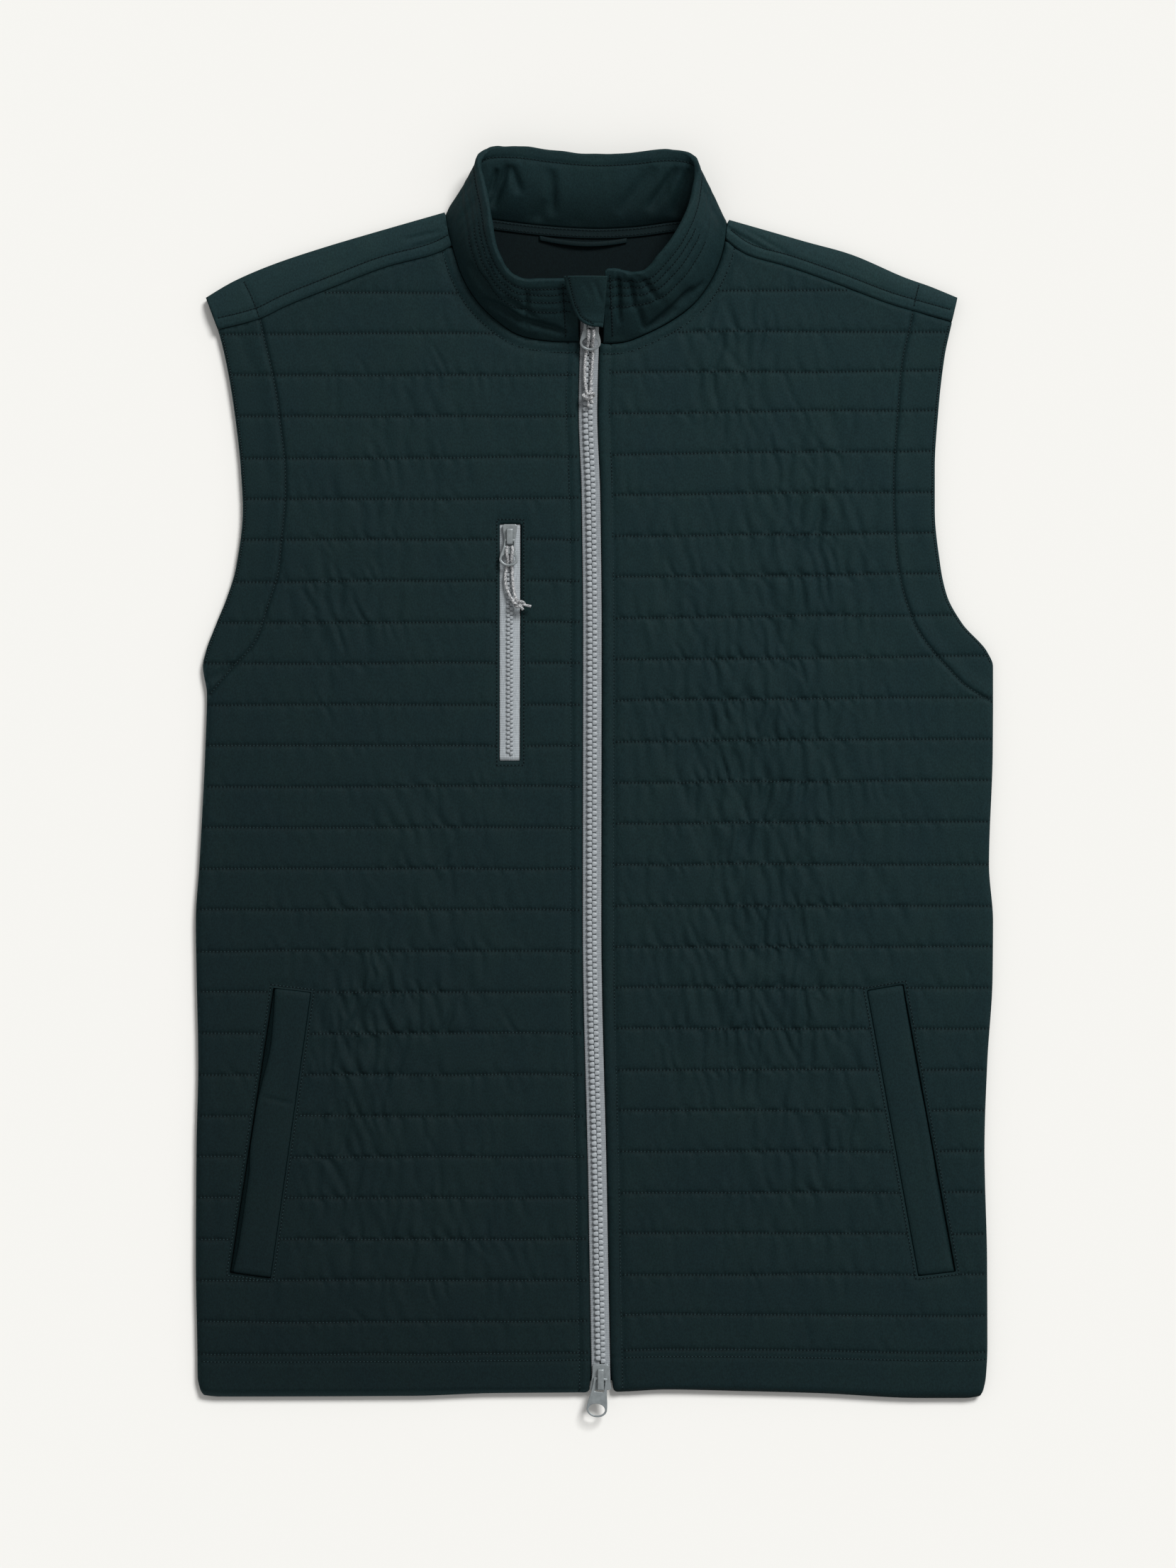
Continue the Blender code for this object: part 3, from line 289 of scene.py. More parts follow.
# Stitch line of the armhole facing, from the shoulder to the side, the row along the armhole's edge, and the
# painted shade along the stitch line
ARMHOLE_SHADE = 0.5
ARMHOLE_DROP = 0.8
ARMHOLE_STEPS = (-2.0, -0.9, 0.9, 2.0)
ARMHOLE_FOOT = 75.0
ARMHOLE_EDGE_STITCH = 1.6
ARMHOLE_EDGE_PITCH = 1.7
ARMHOLE_LINE = {
    "right": (
        (-217.0, 310.0), (-213.0, 302.0), (-208.0, 289.0), (-204.0, 272.0), (-201.0, 260.0),
        (-197.0, 240.0), (-194.5, 220.0), (-192.0, 200.0), (-191.5, 180.0), (-192.5, 165.0),
        (-194.0, 150.0), (-196.0, 130.0), (-199.0, 120.0), (-204.0, 105.0), (-209.0, 90.0),
        (-216.0, 80.0), (-224.0, 72.0), (-238.0, 55.0),
    ),
    "left": (
        (201.0, 308.0), (199.0, 300.0), (195.0, 280.0), (192.0, 268.0), (190.0, 255.0),
        (188.0, 230.0), (186.5, 210.0), (185.5, 195.0), (185.5, 170.0), (186.5, 150.0),
        (188.0, 135.0), (191.0, 120.0), (195.0, 107.0), (200.0, 95.0), (210.0, 81.0),
        (220.0, 70.0), (230.0, 60.0), (246.0, 50.0),
    ),
}

# Stand collar: the middle of its wall along the neck seam and along the top edge, and its bow half way up
COLLAR_ROWS = (
    # base x, base y, base z, top x, top y, top z, bow
    (-9.5, 274.0, 5.0, -11.0, 309.5, 29.0, 1.0),
    (-28.0, 274.5, 5.0, -30.0, 308.5, 29.0, 1.5),
    (-46.0, 278.0, 5.0, -45.0, 309.0, 30.0, 2.0),
    (-60.0, 287.0, 5.0, -54.0, 315.0, 32.0, 2.5),
    (-72.0, 299.0, 5.0, -60.0, 326.0, 34.0, 2.5),
    (-81.0, 314.0, 5.0, -63.5, 340.0, 34.0, 2.5),
    (-87.0, 332.0, 5.0, -66.0, 357.0, 31.0, 2.0),
    (-90.5, 346.0, 5.0, -69.5, 372.0, 25.0, 1.0),
    (-90.5, 352.5, 4.5, -71.0, 383.5, 22.0, -0.5),
    (-85.5, 354.0, 2.4, -67.5, 389.0, 19.0, -1.5),
    (-75.0, 351.5, 1.9, -60.5, 391.6, 17.0, -2.5),
    (-55.0, 348.5, 1.8, -46.0, 391.8, 15.5, -3.0),
    (-28.0, 345.5, 1.8, -24.0, 389.0, 15.0, -3.0),
    (0.0, 344.0, 1.8, 0.0, 387.0, 15.0, -3.0),
    (25.0, 345.0, 1.8, 22.0, 387.8, 15.0, -3.0),
    (48.0, 348.0, 1.8, 41.0, 389.8, 15.5, -3.0),
    (67.0, 350.0, 1.9, 52.5, 389.2, 17.0, -2.5),
    (76.5, 350.5, 2.4, 59.5, 386.5, 19.0, -1.5),
    (80.5, 347.5, 4.5, 63.0, 380.0, 22.0, -0.5),
    (80.5, 340.0, 5.0, 62.0, 368.0, 25.0, 1.0),
    (77.5, 326.0, 5.0, 58.0, 352.0, 31.0, 2.0),
    (71.0, 311.0, 5.0, 50.0, 336.0, 34.0, 2.5),
    (61.0, 297.5, 5.0, 41.0, 324.0, 34.0, 2.5),
    (48.0, 287.5, 5.0, 31.0, 314.0, 32.0, 2.5),
    (33.0, 279.5, 5.0, 22.0, 313.0, 30.0, 2.0),
    (19.0, 274.0, 5.0, 13.0, 315.0, 29.0, 1.5),
    (5.5, 273.0, 5.0, 6.5, 314.0, 29.0, 1.0),
)
COLLAR_WALL = 3.0
COLLAR_LIP = 0.8
COLLAR_LOWEST = 0.2
COLLAR_BETWEEN = 12
COLLAR_UP = 34
COLLAR_RIGHT_FOLD = 8
COLLAR_LEFT_FOLD = 18
COLLAR_PROFILE = (
    # share of the way up, wall as a share of COLLAR_WALL
    (0.0, 0.85),
    (0.25, 1.05),
    (0.5, 1.1),
    (0.78, 1.0),
    (1.0, 1.1),
)
COLLAR_TOPSTITCH = 0.875
COLLAR_ROWS_UP = (0.5, 0.66, 0.78)
COLLAR_PLACKET = 0.5
COLLAR_TUCK = 0.9
COLLAR_TRIM = 4
COLLAR_HELD = 0.12
COLLAR_ROLL = (0.2, 0.945, 2.6)
COLLAR_GROOVE = (0.6, 1.1)
COLLAR_ROW_GROOVE = (0.5, 1.8)
COLLAR_LIP_WAVE = 0.4
COLLAR_LIP_CELLS = (3.1, 0.5)
COLLAR_LIP_SEED = 13
COLLAR_LOOSE = (1.4, 0.7)
COLLAR_LOOSE_CELLS = 2.3
COLLAR_LOOSE_SEED = 14
COLLAR_WAVES = (
    # rise, cells along, start along, cells up, start up on the outside, seed
    (0.55, 1.9, 3.0, 1.6, 9.0, 11),
    (0.3, 5.0, 0.0, 2.4, 20.0, 12),
)
# Painted shade on the inside of the collar round the back of the neck, darkest at its root
COLLAR_SHADE = 0.65
COLLAR_SHADE_LEAN = 0.3
COLLAR_SHADE_REACH = 45.0
COLLAR_SHADE_POWER = 1.6
COLLAR_CREASES = (
    # start x, start y, end x, end y, half width, depth, 1 outside or 0 inside
    (62.0, 307.0, 42.0, 287.0, 1.9, 3.4, 1),
    (53.0, 297.0, 31.0, 278.0, 2.4, 4.4, 1),
    (68.0, 311.0, 48.0, 291.0, 1.6, 1.7, 1),
    (14.5, 315.0, 15.5, 283.0, 1.6, 2.5, 1),
    (21.5, 314.0, 25.0, 291.0, 1.6, 2.6, 1),
    (29.0, 312.0, 39.0, 297.0, 1.6, 2.1, 1),
    (26.0, 295.0, 32.0, 278.0, 1.7, 2.1, 1),
    (-68.0, 300.0, -38.0, 281.5, 1.9, 3.5, 1),
    (-52.0, 288.0, -16.0, 278.5, 1.9, 3.4, 1),
    (-56.0, 300.0, -34.0, 286.0, 1.6, 2.0, 1),
    (-41.5, 304.0, -42.0, 282.0, 1.4, 2.2, 1),
    (-77.0, 322.0, -59.0, 296.0, 2.0, 2.3, 1),
    (-20.0, 306.0, -18.0, 281.0, 2.0, 1.9, 1),
    (-52.5, 382.0, -64.0, 356.0, 2.4, 4.2, 0),
    (-60.0, 380.0, -65.0, 362.0, 2.0, 3.2, 0),
    (-51.5, 382.0, -46.0, 364.0, 2.4, 3.0, 0),
    (-26.5, 380.0, -26.0, 351.0, 2.6, 3.4, 0),
    (-28.0, 362.0, -36.0, 348.0, 2.6, 1.8, 0),
    (38.0, 381.0, 14.0, 352.0, 4.0, 2.2, 0),
    (52.0, 381.0, 33.0, 354.0, 3.0, 3.4, 0),
    (58.0, 380.0, 49.0, 351.0, 2.8, 3.4, 0),
)
NECK_TOPSTITCH = 6.5
NECK_ROLL = 3.2

# Main zip: its middle at each height, and the rise of the tapes up the collar's front edges
ZIP_LINE = (
    # height, x
    (310.0, -3.0),
    (285.0, -3.0),
    (230.0, -4.0),
    (178.0, -2.2),
    (90.0, -1.3),
    (-86.0, -1.5),
    (-245.0, 1.8),
    (-345.0, 3.6),
    (-385.0, 4.4),
)
ZIP_OPENING_HALF = 6.1
ZIP_FLARE = 1.1
ZIP_FLARE_TOP = -364.0
ZIP_FLARE_RUN = 12.0
ZIP_TOPSTITCH = 13.3
ZIP_STRIP = ZIP_TOPSTITCH - ZIP_OPENING_HALF
ROW_START = {"right": 2.0, "left": ZIP_STRIP + 1.0}
HEM_CORNER = 3.0
TAPE_SECTION = (
    # distance off the zip's middle, height as a share of TAPE_WALL
    (0.6, 0.0), (0.6, 0.9), (0.9, 1.15), (1.9, 1.1), (2.4, 0.85), (5.0, 0.8), (5.8, 0.6), (5.8, 0.0),
)
TAPE_WALL = 1.0
TAPE_TOP = 303.0
TAPE_BOTTOM = -373.5
TOOTH_PITCH = 3.5
TOOTH_HALF = (1.72, 1.55, 0.855)
TOOTH_OFF_MIDDLE = 1.6
TOOTH_LIFT = 0.85
TOOTH_ENDS = (1.8, 1.0)
TOOTH_TIP = 0.12
TOOTH_BLOCK = (0.6, 0.7)
TOOTH_HEAD = 0.25
TOOTH_RINGS = 7
TOOTH_AROUND = 12
RISE_START = 276.0
RISE_SOFT = 4.0
RISE_SLOPE = 0.70

# Sliders and pulls: rows of a slider are (y, half width); a pull is (neck half, ring half, ring at, tip at),
# its hole is (at, half width, half height) and its fork is (end at, clearance beside the bridge)
SLIDERS = {
    # rows, bridge from and to, hinge
    "bottom": (((0.0, 5.2), (-6.0, 5.2), (-12.0, 6.2), (-15.6, 6.75), (-16.0, 5.5)), (-15.9, -2.6), -9.0),
    "chest": (((13.0, 4.6), (9.0, 4.4), (4.0, 3.4), (0.0, 3.4)), (0.2, 10.4), 3.0),
    "top": (((14.0, 5.6), (9.0, 5.4), (4.0, 4.6), (0.0, 4.6)), (0.2, 10.4), 3.0),
}
PULLS = {
    # droop and lean in degrees, pull, hole, fork
    "bottom": (0.5, -7.5, (4.35, 6.4, 19.0, 23.9), (19.1, 5.1, 3.6), (8.0, 1.0)),
    "chest": (-5.0, -3.5, (3.4, 5.75, 12.4, 16.2), (11.8, 4.3, 3.1), (4.0, 0.6)),
    "top": (15.0, -2.0, (4.4, 6.5, 12.2, 17.0), (12.2, 5.0, 3.4), (4.0, 0.6)),
}
ZIP_NODES = {
    "bottom": ("zip_slider_bottom", "zip_pull_bottom"),
    "chest": ("chest_zip_slider", "chest_zip_pull"),
    "top": ("zip_slider_top", "zip_pull_top"),
}
SLIDER_WALL = 2.4
BRIDGE_HALF = 1.9
BRIDGE_RISE = 3.3
BRIDGE_WALL = 1.0
BRIDGE_LEG = 1.5
BAR_HALF = 0.75
PULL_WALL = 1.2
PULL_FLARE = 1.4
PIVOT_ABOVE_BODY = 1.15
BOTTOM_SLIDER_TOP = -360.2
CHEST_SLIDER_LOW = 147.0
TOP_SLIDER_LOW = 283.2
TOP_SLIDER_X = -2.2
CHAIN_BELOW_SLIDER = 4.0
SLIDER_ROUND = 1.6
SLIDER_BEVEL = 0.5
BRIDGE_FOOT = 0.8
BRIDGE_SILL = 0.1
BRIDGE_ROUND = (1.3, 0.8)
BRIDGE_BEVEL = 0.45
PULL_ROUND = 0.4
PULL_SLOT_ROUND = 0.7
PULL_BEVEL = 0.42

# Pocket zip on the wearer's right chest
CHEST_X = -52.4
CHEST_HALF = 6.65
CHEST_TOP = 160.3
CHEST_BOTTOM = 13.3
CHEST_FLOOR = FRONT_FLOOR + 0.6
CHEST_STOP = 4.0
CHEST_COIL_PITCH = 2.8
CHEST_FRAME = ((-60.5, 10.6), (-43.8, 10.6), (-43.8, 163.0), (-60.5, 163.0))
COIL_HALF = (1.1696, 1.147, 0.513)
COIL_OFF_MIDDLE = 1.05
COIL_LIFT = 0.45
COIL_ENDS = (0.8, 0.4)

# Hand pockets: the welt's corners, and how far its edge lies over or off the slit along its length
WELT_CORNERS = {
    # top outer, top inner, bottom inner, bottom outer
    "right": ((-196.5, -127.7), (-175.8, -130.1), (-200.8, -306.9), (-223.5, -303.8)),
    "left": ((189.6, -125.6), (169.0, -129.1), (200.8, -305.6), (222.0, -303.1)),
}
WELT_SLIT = {"right": 2.2, "left": 1.6}
WELT_FRAME = 2.0
WELT_LEDGE = 0.9
WELT_WAVE = 0.22
WELT_CELLS = (9.0, 1.5)
WELT_SEED = 51
WELT_EDGE = {
    # share of the way down, how far the edge reaches into the slit
    "right": ((0.0, 1.6), (0.08, 0.2), (0.21, -1.2), (0.33, 0.6), (0.42, 1.8), (0.55, 1.8), (0.66, 0.0),
              (0.9, -0.3), (1.0, 0.8)),
    "left": ((0.0, 1.4), (0.08, 0.9), (0.3, 0.7), (0.45, 1.1), (0.58, 1.1), (0.7, 0.2), (0.9, 0.0),
             (1.0, 0.8)),
}
WELT_PROFILE = (
    # share of the way across from the slit, wall
    (0.0, 1.7),
    (0.08, 2.5),
    (0.3, 2.9),
    (0.7, 2.9),
    (0.92, 2.6),
    (1.0, 2.0),
)
WELT_CREASES = {
    "right": ((-207.0, -194.5, -186.0, -199.5, 1.2, 0.7),),
    "left": ((196.0, -190.0, 206.0, -252.0, 1.8, 0.4),),
}

# Flap over the top of the zip
GARAGE_ROWS = (
    # y, free edge, edge towards the wearer's left
    (281.3, -1.5, 4.0),
    (283.0, -6.0, 4.4),
    (286.0, -9.8, 4.7),
    (290.0, -12.3, 5.0),
    (295.0, -14.4, 5.4),
    (300.0, -16.0, 5.8),
    (306.0, -17.8, 6.4),
    (310.8, -19.0, 6.9),
)
GARAGE_WALL = 1.4
GARAGE_LIFT = 6.3
GARAGE_ARCH = 3.0
GARAGE_LIP = 1.4
GARAGE_LIP_REACH = 9.0
GARAGE_LEFT_ROOT = 11.0
GARAGE_RIGHT_ROOT = -22.0
GARAGE_HEM = 2.6
GARAGE_TUCK = 1.1
GARAGE_UP = (0.0, -0.55, 0.85)
GARAGE_PITCH = 1.9
GARAGE_EDGE = (0.45, 1.2)
GARAGE_GROOVE = (0.3, 0.7)
GARAGE_CREASES = ((0.0, 309.0, 4.8, 294.0, 1.4, 0.8), (-6.0, 308.0, -2.0, 298.0, 1.8, 0.35))

# Inside of the back neck
NECK_TAPE_WIDTH = 6.0
NECK_TAPE_WALL = 0.9
NECK_TAPE_REACH = (-66.0, 58.0)
NECK_TAPE_BELOW_EDGE = 1.0
LOOP_REACH = (-34.0, 20.0)
LOOP_WALL = 1.0
LOOP_RISE = 1.6
LOOP_DROP = 2.0
NECK_TAPE_STITCHES = ((1.2, 0.75), (4.8, 0.75))
NECK_TAPE_SECTION = (
    # distance down, height as a share of the wall
    (0.0, 0.0), (0.0, 0.7), (0.4, 0.95), (1.2, 0.75), (3.0, 1.0), (4.8, 0.75), (5.6, 0.95), (6.0, 0.6),
    (6.0, 0.0),
)
LOOP_SECTION = (
    (0.0, 0.15), (0.0, 0.7), (0.3, 1.0), (1.5, 0.85), (2.7, 1.0), (3.0, 0.7), (3.0, 0.15), (1.5, 0.0),
)

# Cords on the upper pulls
CORD_RADIUS = 0.95
CORD_STRANDS = 3
CORD_GROOVE = 0.14
CORD_TWIST = 1.7
KNOT_TWIST = 1.6
KNOT_AROUND = 12
KNOT_TIP_RADIUS = 0.9025
KNOT_BEND_REACH = (2.76, 2.9, 1.0)
CORD_ROUTES = {
    # x, y, z
    "cord_top_right": ((-3.5, 279.9, 15.8), (-3.6, 277.4, 15.3), (-3.7, 274.7, 14.5), (-4.0, 271.4, 11.3),
                       (-4.6, 268.1, 8.5), (-5.3, 265.0, 8.0), (-5.9, 259.0, 7.9), (-6.0, 252.0, 7.9),
                       (-5.7, 246.5, 8.3), (-5.0, 242.9, 9.0), (-4.3, 240.4, 9.8)),
    "cord_top_left": ((-0.6, 279.9, 15.8), (-0.4, 277.4, 15.3), (-0.6, 274.7, 14.5), (-1.2, 271.4, 11.3),
                      (-1.1, 268.1, 8.5), (-1.0, 265.0, 8.0), (-1.3, 259.0, 7.9), (-1.8, 252.0, 7.9),
                      (-2.1, 246.5, 8.3), (-2.2, 242.9, 9.0), (-2.9, 240.4, 9.8)),
    "cord_chest_right": ((-53.7, 146.3, 11.0), (-54.3, 143.5, 11.4), (-54.1, 141.2, 11.3),
                         (-53.7, 138.2, 9.8), (-54.0, 135.1, 8.2), (-54.6, 131.5, 7.8), (-55.2, 127.0, 7.8),
                         (-54.7, 121.8, 7.8), (-53.2, 117.5, 8.3), (-51.7, 114.6, 9.2), (-49.2, 112.0, 10.4)),
    "cord_chest_left": ((-51.1, 146.3, 11.0), (-50.6, 143.5, 11.4), (-50.9, 141.2, 11.3), (-51.4, 138.2, 9.8),
                        (-51.2, 135.1, 8.2), (-50.9, 131.5, 7.8), (-50.8, 127.0, 7.8), (-50.4, 122.2, 7.9),
                        (-49.7, 118.0, 8.7), (-49.1, 115.2, 9.8), (-47.8, 112.4, 10.8)),
}
KNOTS = {
    # centre, half sizes, turn, tips of the cut ends
    "knot_top": ((-3.6, 239.0, 9.8), (4.4, 2.9, 2.6), 0.1, ((-0.8, -6.2, -0.6), (2.2, -4.6, 0.8))),
    "knot_chest": ((-47.2, 110.8, 10.9), (4.7, 3.1, 2.4), -0.3, ((8.2, 0.6, 0.2), (4.2, -2.9, 0.6))),
}

# Sewing thread
STITCH_PITCH = 2.25
THREAD_HALF = (0.3795, 0.264)
THREAD_CORNERS = (90.0, 210.0, 330.0)
THREAD_RINGS = (
    # share of the way from hole to hole, girth, lift
    (0.24, 0.7, 0.18),
    (0.5, 1.0, 0.34),
    (0.76, 0.7, 0.18),
)
# Dark discs at the needle holes: painted shade in each hole
HOLE_SIDES = 6
HOLE_HALF = (0.42, 0.5)
HOLE_LIFT = 0.24

# Camera over the middle of the photograph's frame
FRAME_HEIGHT = 973.3
FRAME_MIDDLE = (-4.0, -0.9)
CAMERA_HEIGHT = 3000.0
SENSOR = 36.0
CAMERA_FAR = 20.0

# Light: a soft sky, and one soft lamp from beyond the collar
SKY_STRENGTH = 0.36
KEY_STRENGTH = 2.8
KEY_FROM = (0.55, 0.85, 1.0)
KEY_SPREAD = 22.0
FLOOR_COLOUR = (248, 247, 243)
FLOOR_REACH = 6.0
FLOOR_LEVEL = -0.0004

# Cloth finish: gloss, the tone of painted shade as where thread draws it in, and painted light that slowly
# changes the tone along a direction, in metres
CLOTH_GLOSS = 0.1
PAINTED_SHADE_TONE = (0.46, 0.48, 0.49)
PAINTED_LIGHT_ALONG = (1.0, 1.0, 0.0)
PAINTED_LIGHT_FROM = -0.5
PAINTED_LIGHT_TO = 0.4
PAINTED_LIGHT_LOW = (0.71, 0.71, 0.72)
PAINTED_LIGHT_HIGH = (1.5, 1.46, 1.46)
RIB_PITCH = 0.0011

# Fronts: how far from a sewn line the cloth is free, the looser placket, and an edge that is out of reach
LOOSE_RUN = 6.0
SIDE_RUN = 12.0
PLACKET_RUN = 4.0
PLACKET_LOOSE = {"right": 0.35, "left": 0.0}
FAR = 99.0
FRONT_RELIEF = {
    # rise along a line, half width
    "armhole": (-1.5, 1.1),
    "zip": (-0.9, 1.1),
    "placket": (0.5, 2.16),
    "neck": (-0.6, 1.3),
    "neck roll": (0.5, 2.2),
    "hem": (-0.45, 1.2),
}
FRONT_EDGES = {
    # reach of the rounded edge, wall at the edge as a share
    "zip": (2.2, 0.55),
    "neck": (2.2, 0.6),
    "seam": (2.5, 0.55),
    "side": (5.0, 0.3),
    "hem": (3.2, 0.4),
}
TURNED_EDGE = (
    # share of the edge's height, distance in under the panel
    (0.45, 0.0),
    (0.12, 0.5),
    (0.0, 2.4),
)


def linear(*channels):
    """Linear light of an sRGB colour whose channels run from 0 to 255."""
    return ((np.array(channels) / 255 + 0.055) / 1.055) ** 2.4


def smooth(value):
    share = np.clip(value, 0.0, 1.0)
    return share * share * (3 - 2 * share)


def mix(first, second, share):
    return first + (second - first) * share


def bell(offset, half):
    """1 where the offset is 0, falling away smoothly on both sides."""
    return np.exp(-(offset / half) ** 2)


def unit(vectors):
    return vectors / np.linalg.norm(vectors, axis=-1, keepdims=True)


def closed(line):
    return np.vstack((line, line[:1]))


def crowded(low, high, near, middle, far):
    """Shares from 0 to 1, closer together below the low one and above the high one."""
    return np.concatenate((np.linspace(0, low, near)[:-1], np.linspace(low, high, middle),
                           np.linspace(high, 1, far)[1:]))


def curve_through(rows, column=1):
    """A smooth function through a table sorted by its first column, with no overshoot between rows."""
    ordered = sorted((row[0], row[column]) for row in rows)
    at = np.array([row[0] for row in ordered])
    value = np.array([row[1] for row in ordered])
    slope = np.diff(value) / np.diff(at)
    product = slope[:-1] * slope[1:]
    total = np.where(np.abs(slope[:-1] + slope[1:]) < 1e-12, 1.0, slope[:-1] + slope[1:])
    inner = np.where(product > 0, 2 * product / total, 0.0)
    turn = np.concatenate(([slope[0]], inner, [slope[-1]]))

    def evaluate(position):
        position = np.clip(position, at[0], at[-1])
        i = np.clip(np.searchsorted(at, position, side="right") - 1, 0, len(at) - 2)
        step = at[i + 1] - at[i]
        t = (position - at[i]) / step
        first = (1 + 2 * t) * (1 - t) ** 2 * value[i] + t * (1 - t) ** 2 * step * turn[i]
        second = t * t * (3 - 2 * t) * value[i + 1] - t * t * (1 - t) * step * turn[i + 1]
        return first + second

    return evaluate


def spline_rows(rows, between):
    """The rows of a table with smooth rows worked out between them."""
    rows = np.array(rows, float)
    last = len(rows) - 1
    i = np.repeat(np.arange(last), between)
    t = np.tile(np.arange(between) / between, last)[:, None]
    a, b, c, d = (rows[np.clip(i + k, 0, last)] for k in (-1, 0, 1, 2))
    made = b + 0.5 * t * (c - a + t * (2 * a - 5 * b + 4 * c - d + t * (3 * (b - c) + d - a)))
    return np.vstack((made, rows[-1:]))


def lengths_along(line):
    return np.concatenate(([0.0], np.cumsum(np.linalg.norm(np.diff(line, axis=0), axis=1))))


def resample(line, step):
    """Points of a line at equal steps, both ends kept."""
    line = np.asarray(line, float)
    run = lengths_along(line)
    at = np.linspace(0.0, run[-1], max(2, int(round(run[-1] / step)) + 1))
    return np.stack([np.interp(at, run, line[:, k]) for k in range(line.shape[1])], axis=1)


def distance_to(points, line):
    """Distance of each point (x, y) from a line of points."""
    best = np.full(len(points), np.inf)
    line = np.asarray(line, float)
    for a, b in zip(line, line[1:]):
        run = b - a
        share = np.clip((points - a) @ run / max(run @ run, 1e-9), 0.0, 1.0)
        gap = points - a - share[:, None] * run
        best = np.minimum(best, gap[:, 0] ** 2 + gap[:, 1] ** 2)
    return np.sqrt(best)


def nearest(points, dots):
    """Distance of each point (x, y) from the nearest of some dots."""
    tree = KDTree(len(dots))
    for k, dot in enumerate(dots):
        tree.insert((*dot, 0.0), k)
    tree.balance()
    return np.array([tree.find((*point, 0.0))[2] for point in points])


def inside(points, corners):
    """Which points (x, y) lie inside a polygon."""
    found = np.zeros(len(points), bool)
    x, y = points[:, 0], points[:, 1]
    for (ax, ay), (bx, by) in zip(corners, np.roll(corners, -1, axis=0)):
        if ay == by:
            continue
        crosses = (ay > y) != (by > y)
        found ^= crosses & (x < ax + (y - ay) * (bx - ax) / (by - ay))
    return found


def fill(edges, grid, outline, windows=()):
    """Flat points, triangles inside an outline and outside its windows, and the edges' rings of points."""
    ends = np.cumsum([len(edge) for edge in edges])
    rings = [np.arange(end - len(edge), end) for edge, end in zip(edges, ends)]
    held = [(int(a), int(b)) for ring in rings for a, b in zip(ring, np.roll(ring, -1))]
    made = delaunay_2d_cdt([Vector(p) for p in np.vstack((*edges, grid))], held, [], 1, SAME_POINT, False)
    flat, faces = np.array([p[:] for p in made[0]]), np.array(made[2])
    middle = flat[faces].mean(axis=1)
    kept = inside(middle, outline)
    for window in windows:
        kept &= ~inside(middle, window)
    return flat, faces[kept], rings


def lattice_noise(u, v, seed):
    """Smooth noise from -1 to 1 over the plane, the same on each run."""
    table = np.random.default_rng(seed).uniform(-1.0, 1.0, (NOISE_CELLS, NOISE_CELLS))
    i, j = np.floor(u).astype(int), np.floor(v).astype(int)
    s, t = smooth(u - i), smooth(v - j)
    low, right, up, far = (table[(i + a) % NOISE_CELLS, (j + b) % NOISE_CELLS]
                           for a, b in ((0, 0), (1, 0), (0, 1), (1, 1)))
    return mix(mix(low, right, s), mix(up, far, s), t)


def sink(points, creases):
    """How far the cloth sinks at points (x, y) along a table of creases."""
    depth = np.zeros(len(points))
    for start_x, start_y, end_x, end_y, half, deep in creases:
        start, run = np.array((start_x, start_y)), np.array((end_x - start_x, end_y - start_y))
        share = np.clip((points - start) @ run / (run @ run), 0, 1)
        gap = np.linalg.norm(points - start - share[:, None] * run, axis=1)
        depth = np.maximum(depth, deep * (1 - np.abs(2 * share - 1) ** 3) * bell(gap, half))
    return depth


def piece(name, points, faces, finish, body, slot, node=None, pull=None):
    """A smooth mesh object from points in millimetres; pull gives each point's painted shade: how far it is
    darkened.
    """
    mesh = bpy.data.meshes.new(name)
    mesh.from_pydata((np.asarray(points, float) * MM).tolist(), [], [list(f) for f in faces])
    mesh.validate()
    mesh.shade_smooth()
    if pull is not None:
        mesh.attributes.new("pull", "FLOAT", "POINT").data.foreach_set("value", pull)
    return dress(linked(name, mesh), finish, body, node)


def linked(name, data):
    obj = bpy.data.objects.new(name, data)
    bpy.context.scene.collection.objects.link(obj)
    return obj


def dress(obj, finish, body, node=None):
    obj.data.materials.clear()
    for material in finish if isinstance(finish, (list, tuple)) else [finish]:
        obj.data.materials.append(material)
    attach(obj, body)
    if node:
        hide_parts(node)
    return obj


def skin_faces(rows, columns):
    """Faces of a closed skin through rings of points: quads between the rings, and both ends filled."""
    i, j = (k.ravel() for k in np.meshgrid(np.arange(rows - 1) * columns, np.arange(columns), indexing="ij"))
    beside, last = (j + 1) % columns, (rows - 1) * columns
    quads = np.stack((i + j, i + beside, i + columns + beside, i + columns + j), 1)
    return [tuple(f) for f in quads] + [tuple(range(columns))[::-1], tuple(range(last, last + columns))]


def join(parts):
    """Points and faces of several meshes as one."""
    points, faces, start = [], [], 0
    for some_points, some_faces in parts:
        points.append(some_points)
        faces += [tuple(i + start for i in face) for face in some_faces]
        start += len(some_points)
    return np.vstack(points), faces


def loft(name, loops, finish, body, slot, node=None, pull=None):
    """A closed skin through loops of equal length, with both ends filled."""
    loops = np.asarray(loops, float)
    return piece(name, loops.reshape(-1, 3), skin_faces(*loops.shape[:2]), finish, body, slot, node, pull)


def strip(x, y, z, section, axis):
    """Loops of a strip along a line: a section of (distance along the axis, rise) at each of its points."""
    aside, rise = np.array(section, float).T
    line = np.stack(np.broadcast_arrays(x, y, z), 1).astype(float)
    loops = np.repeat(line[:, None], len(section), 1)
    loops[..., axis] += aside
    loops[..., 2] += rise
    return loops


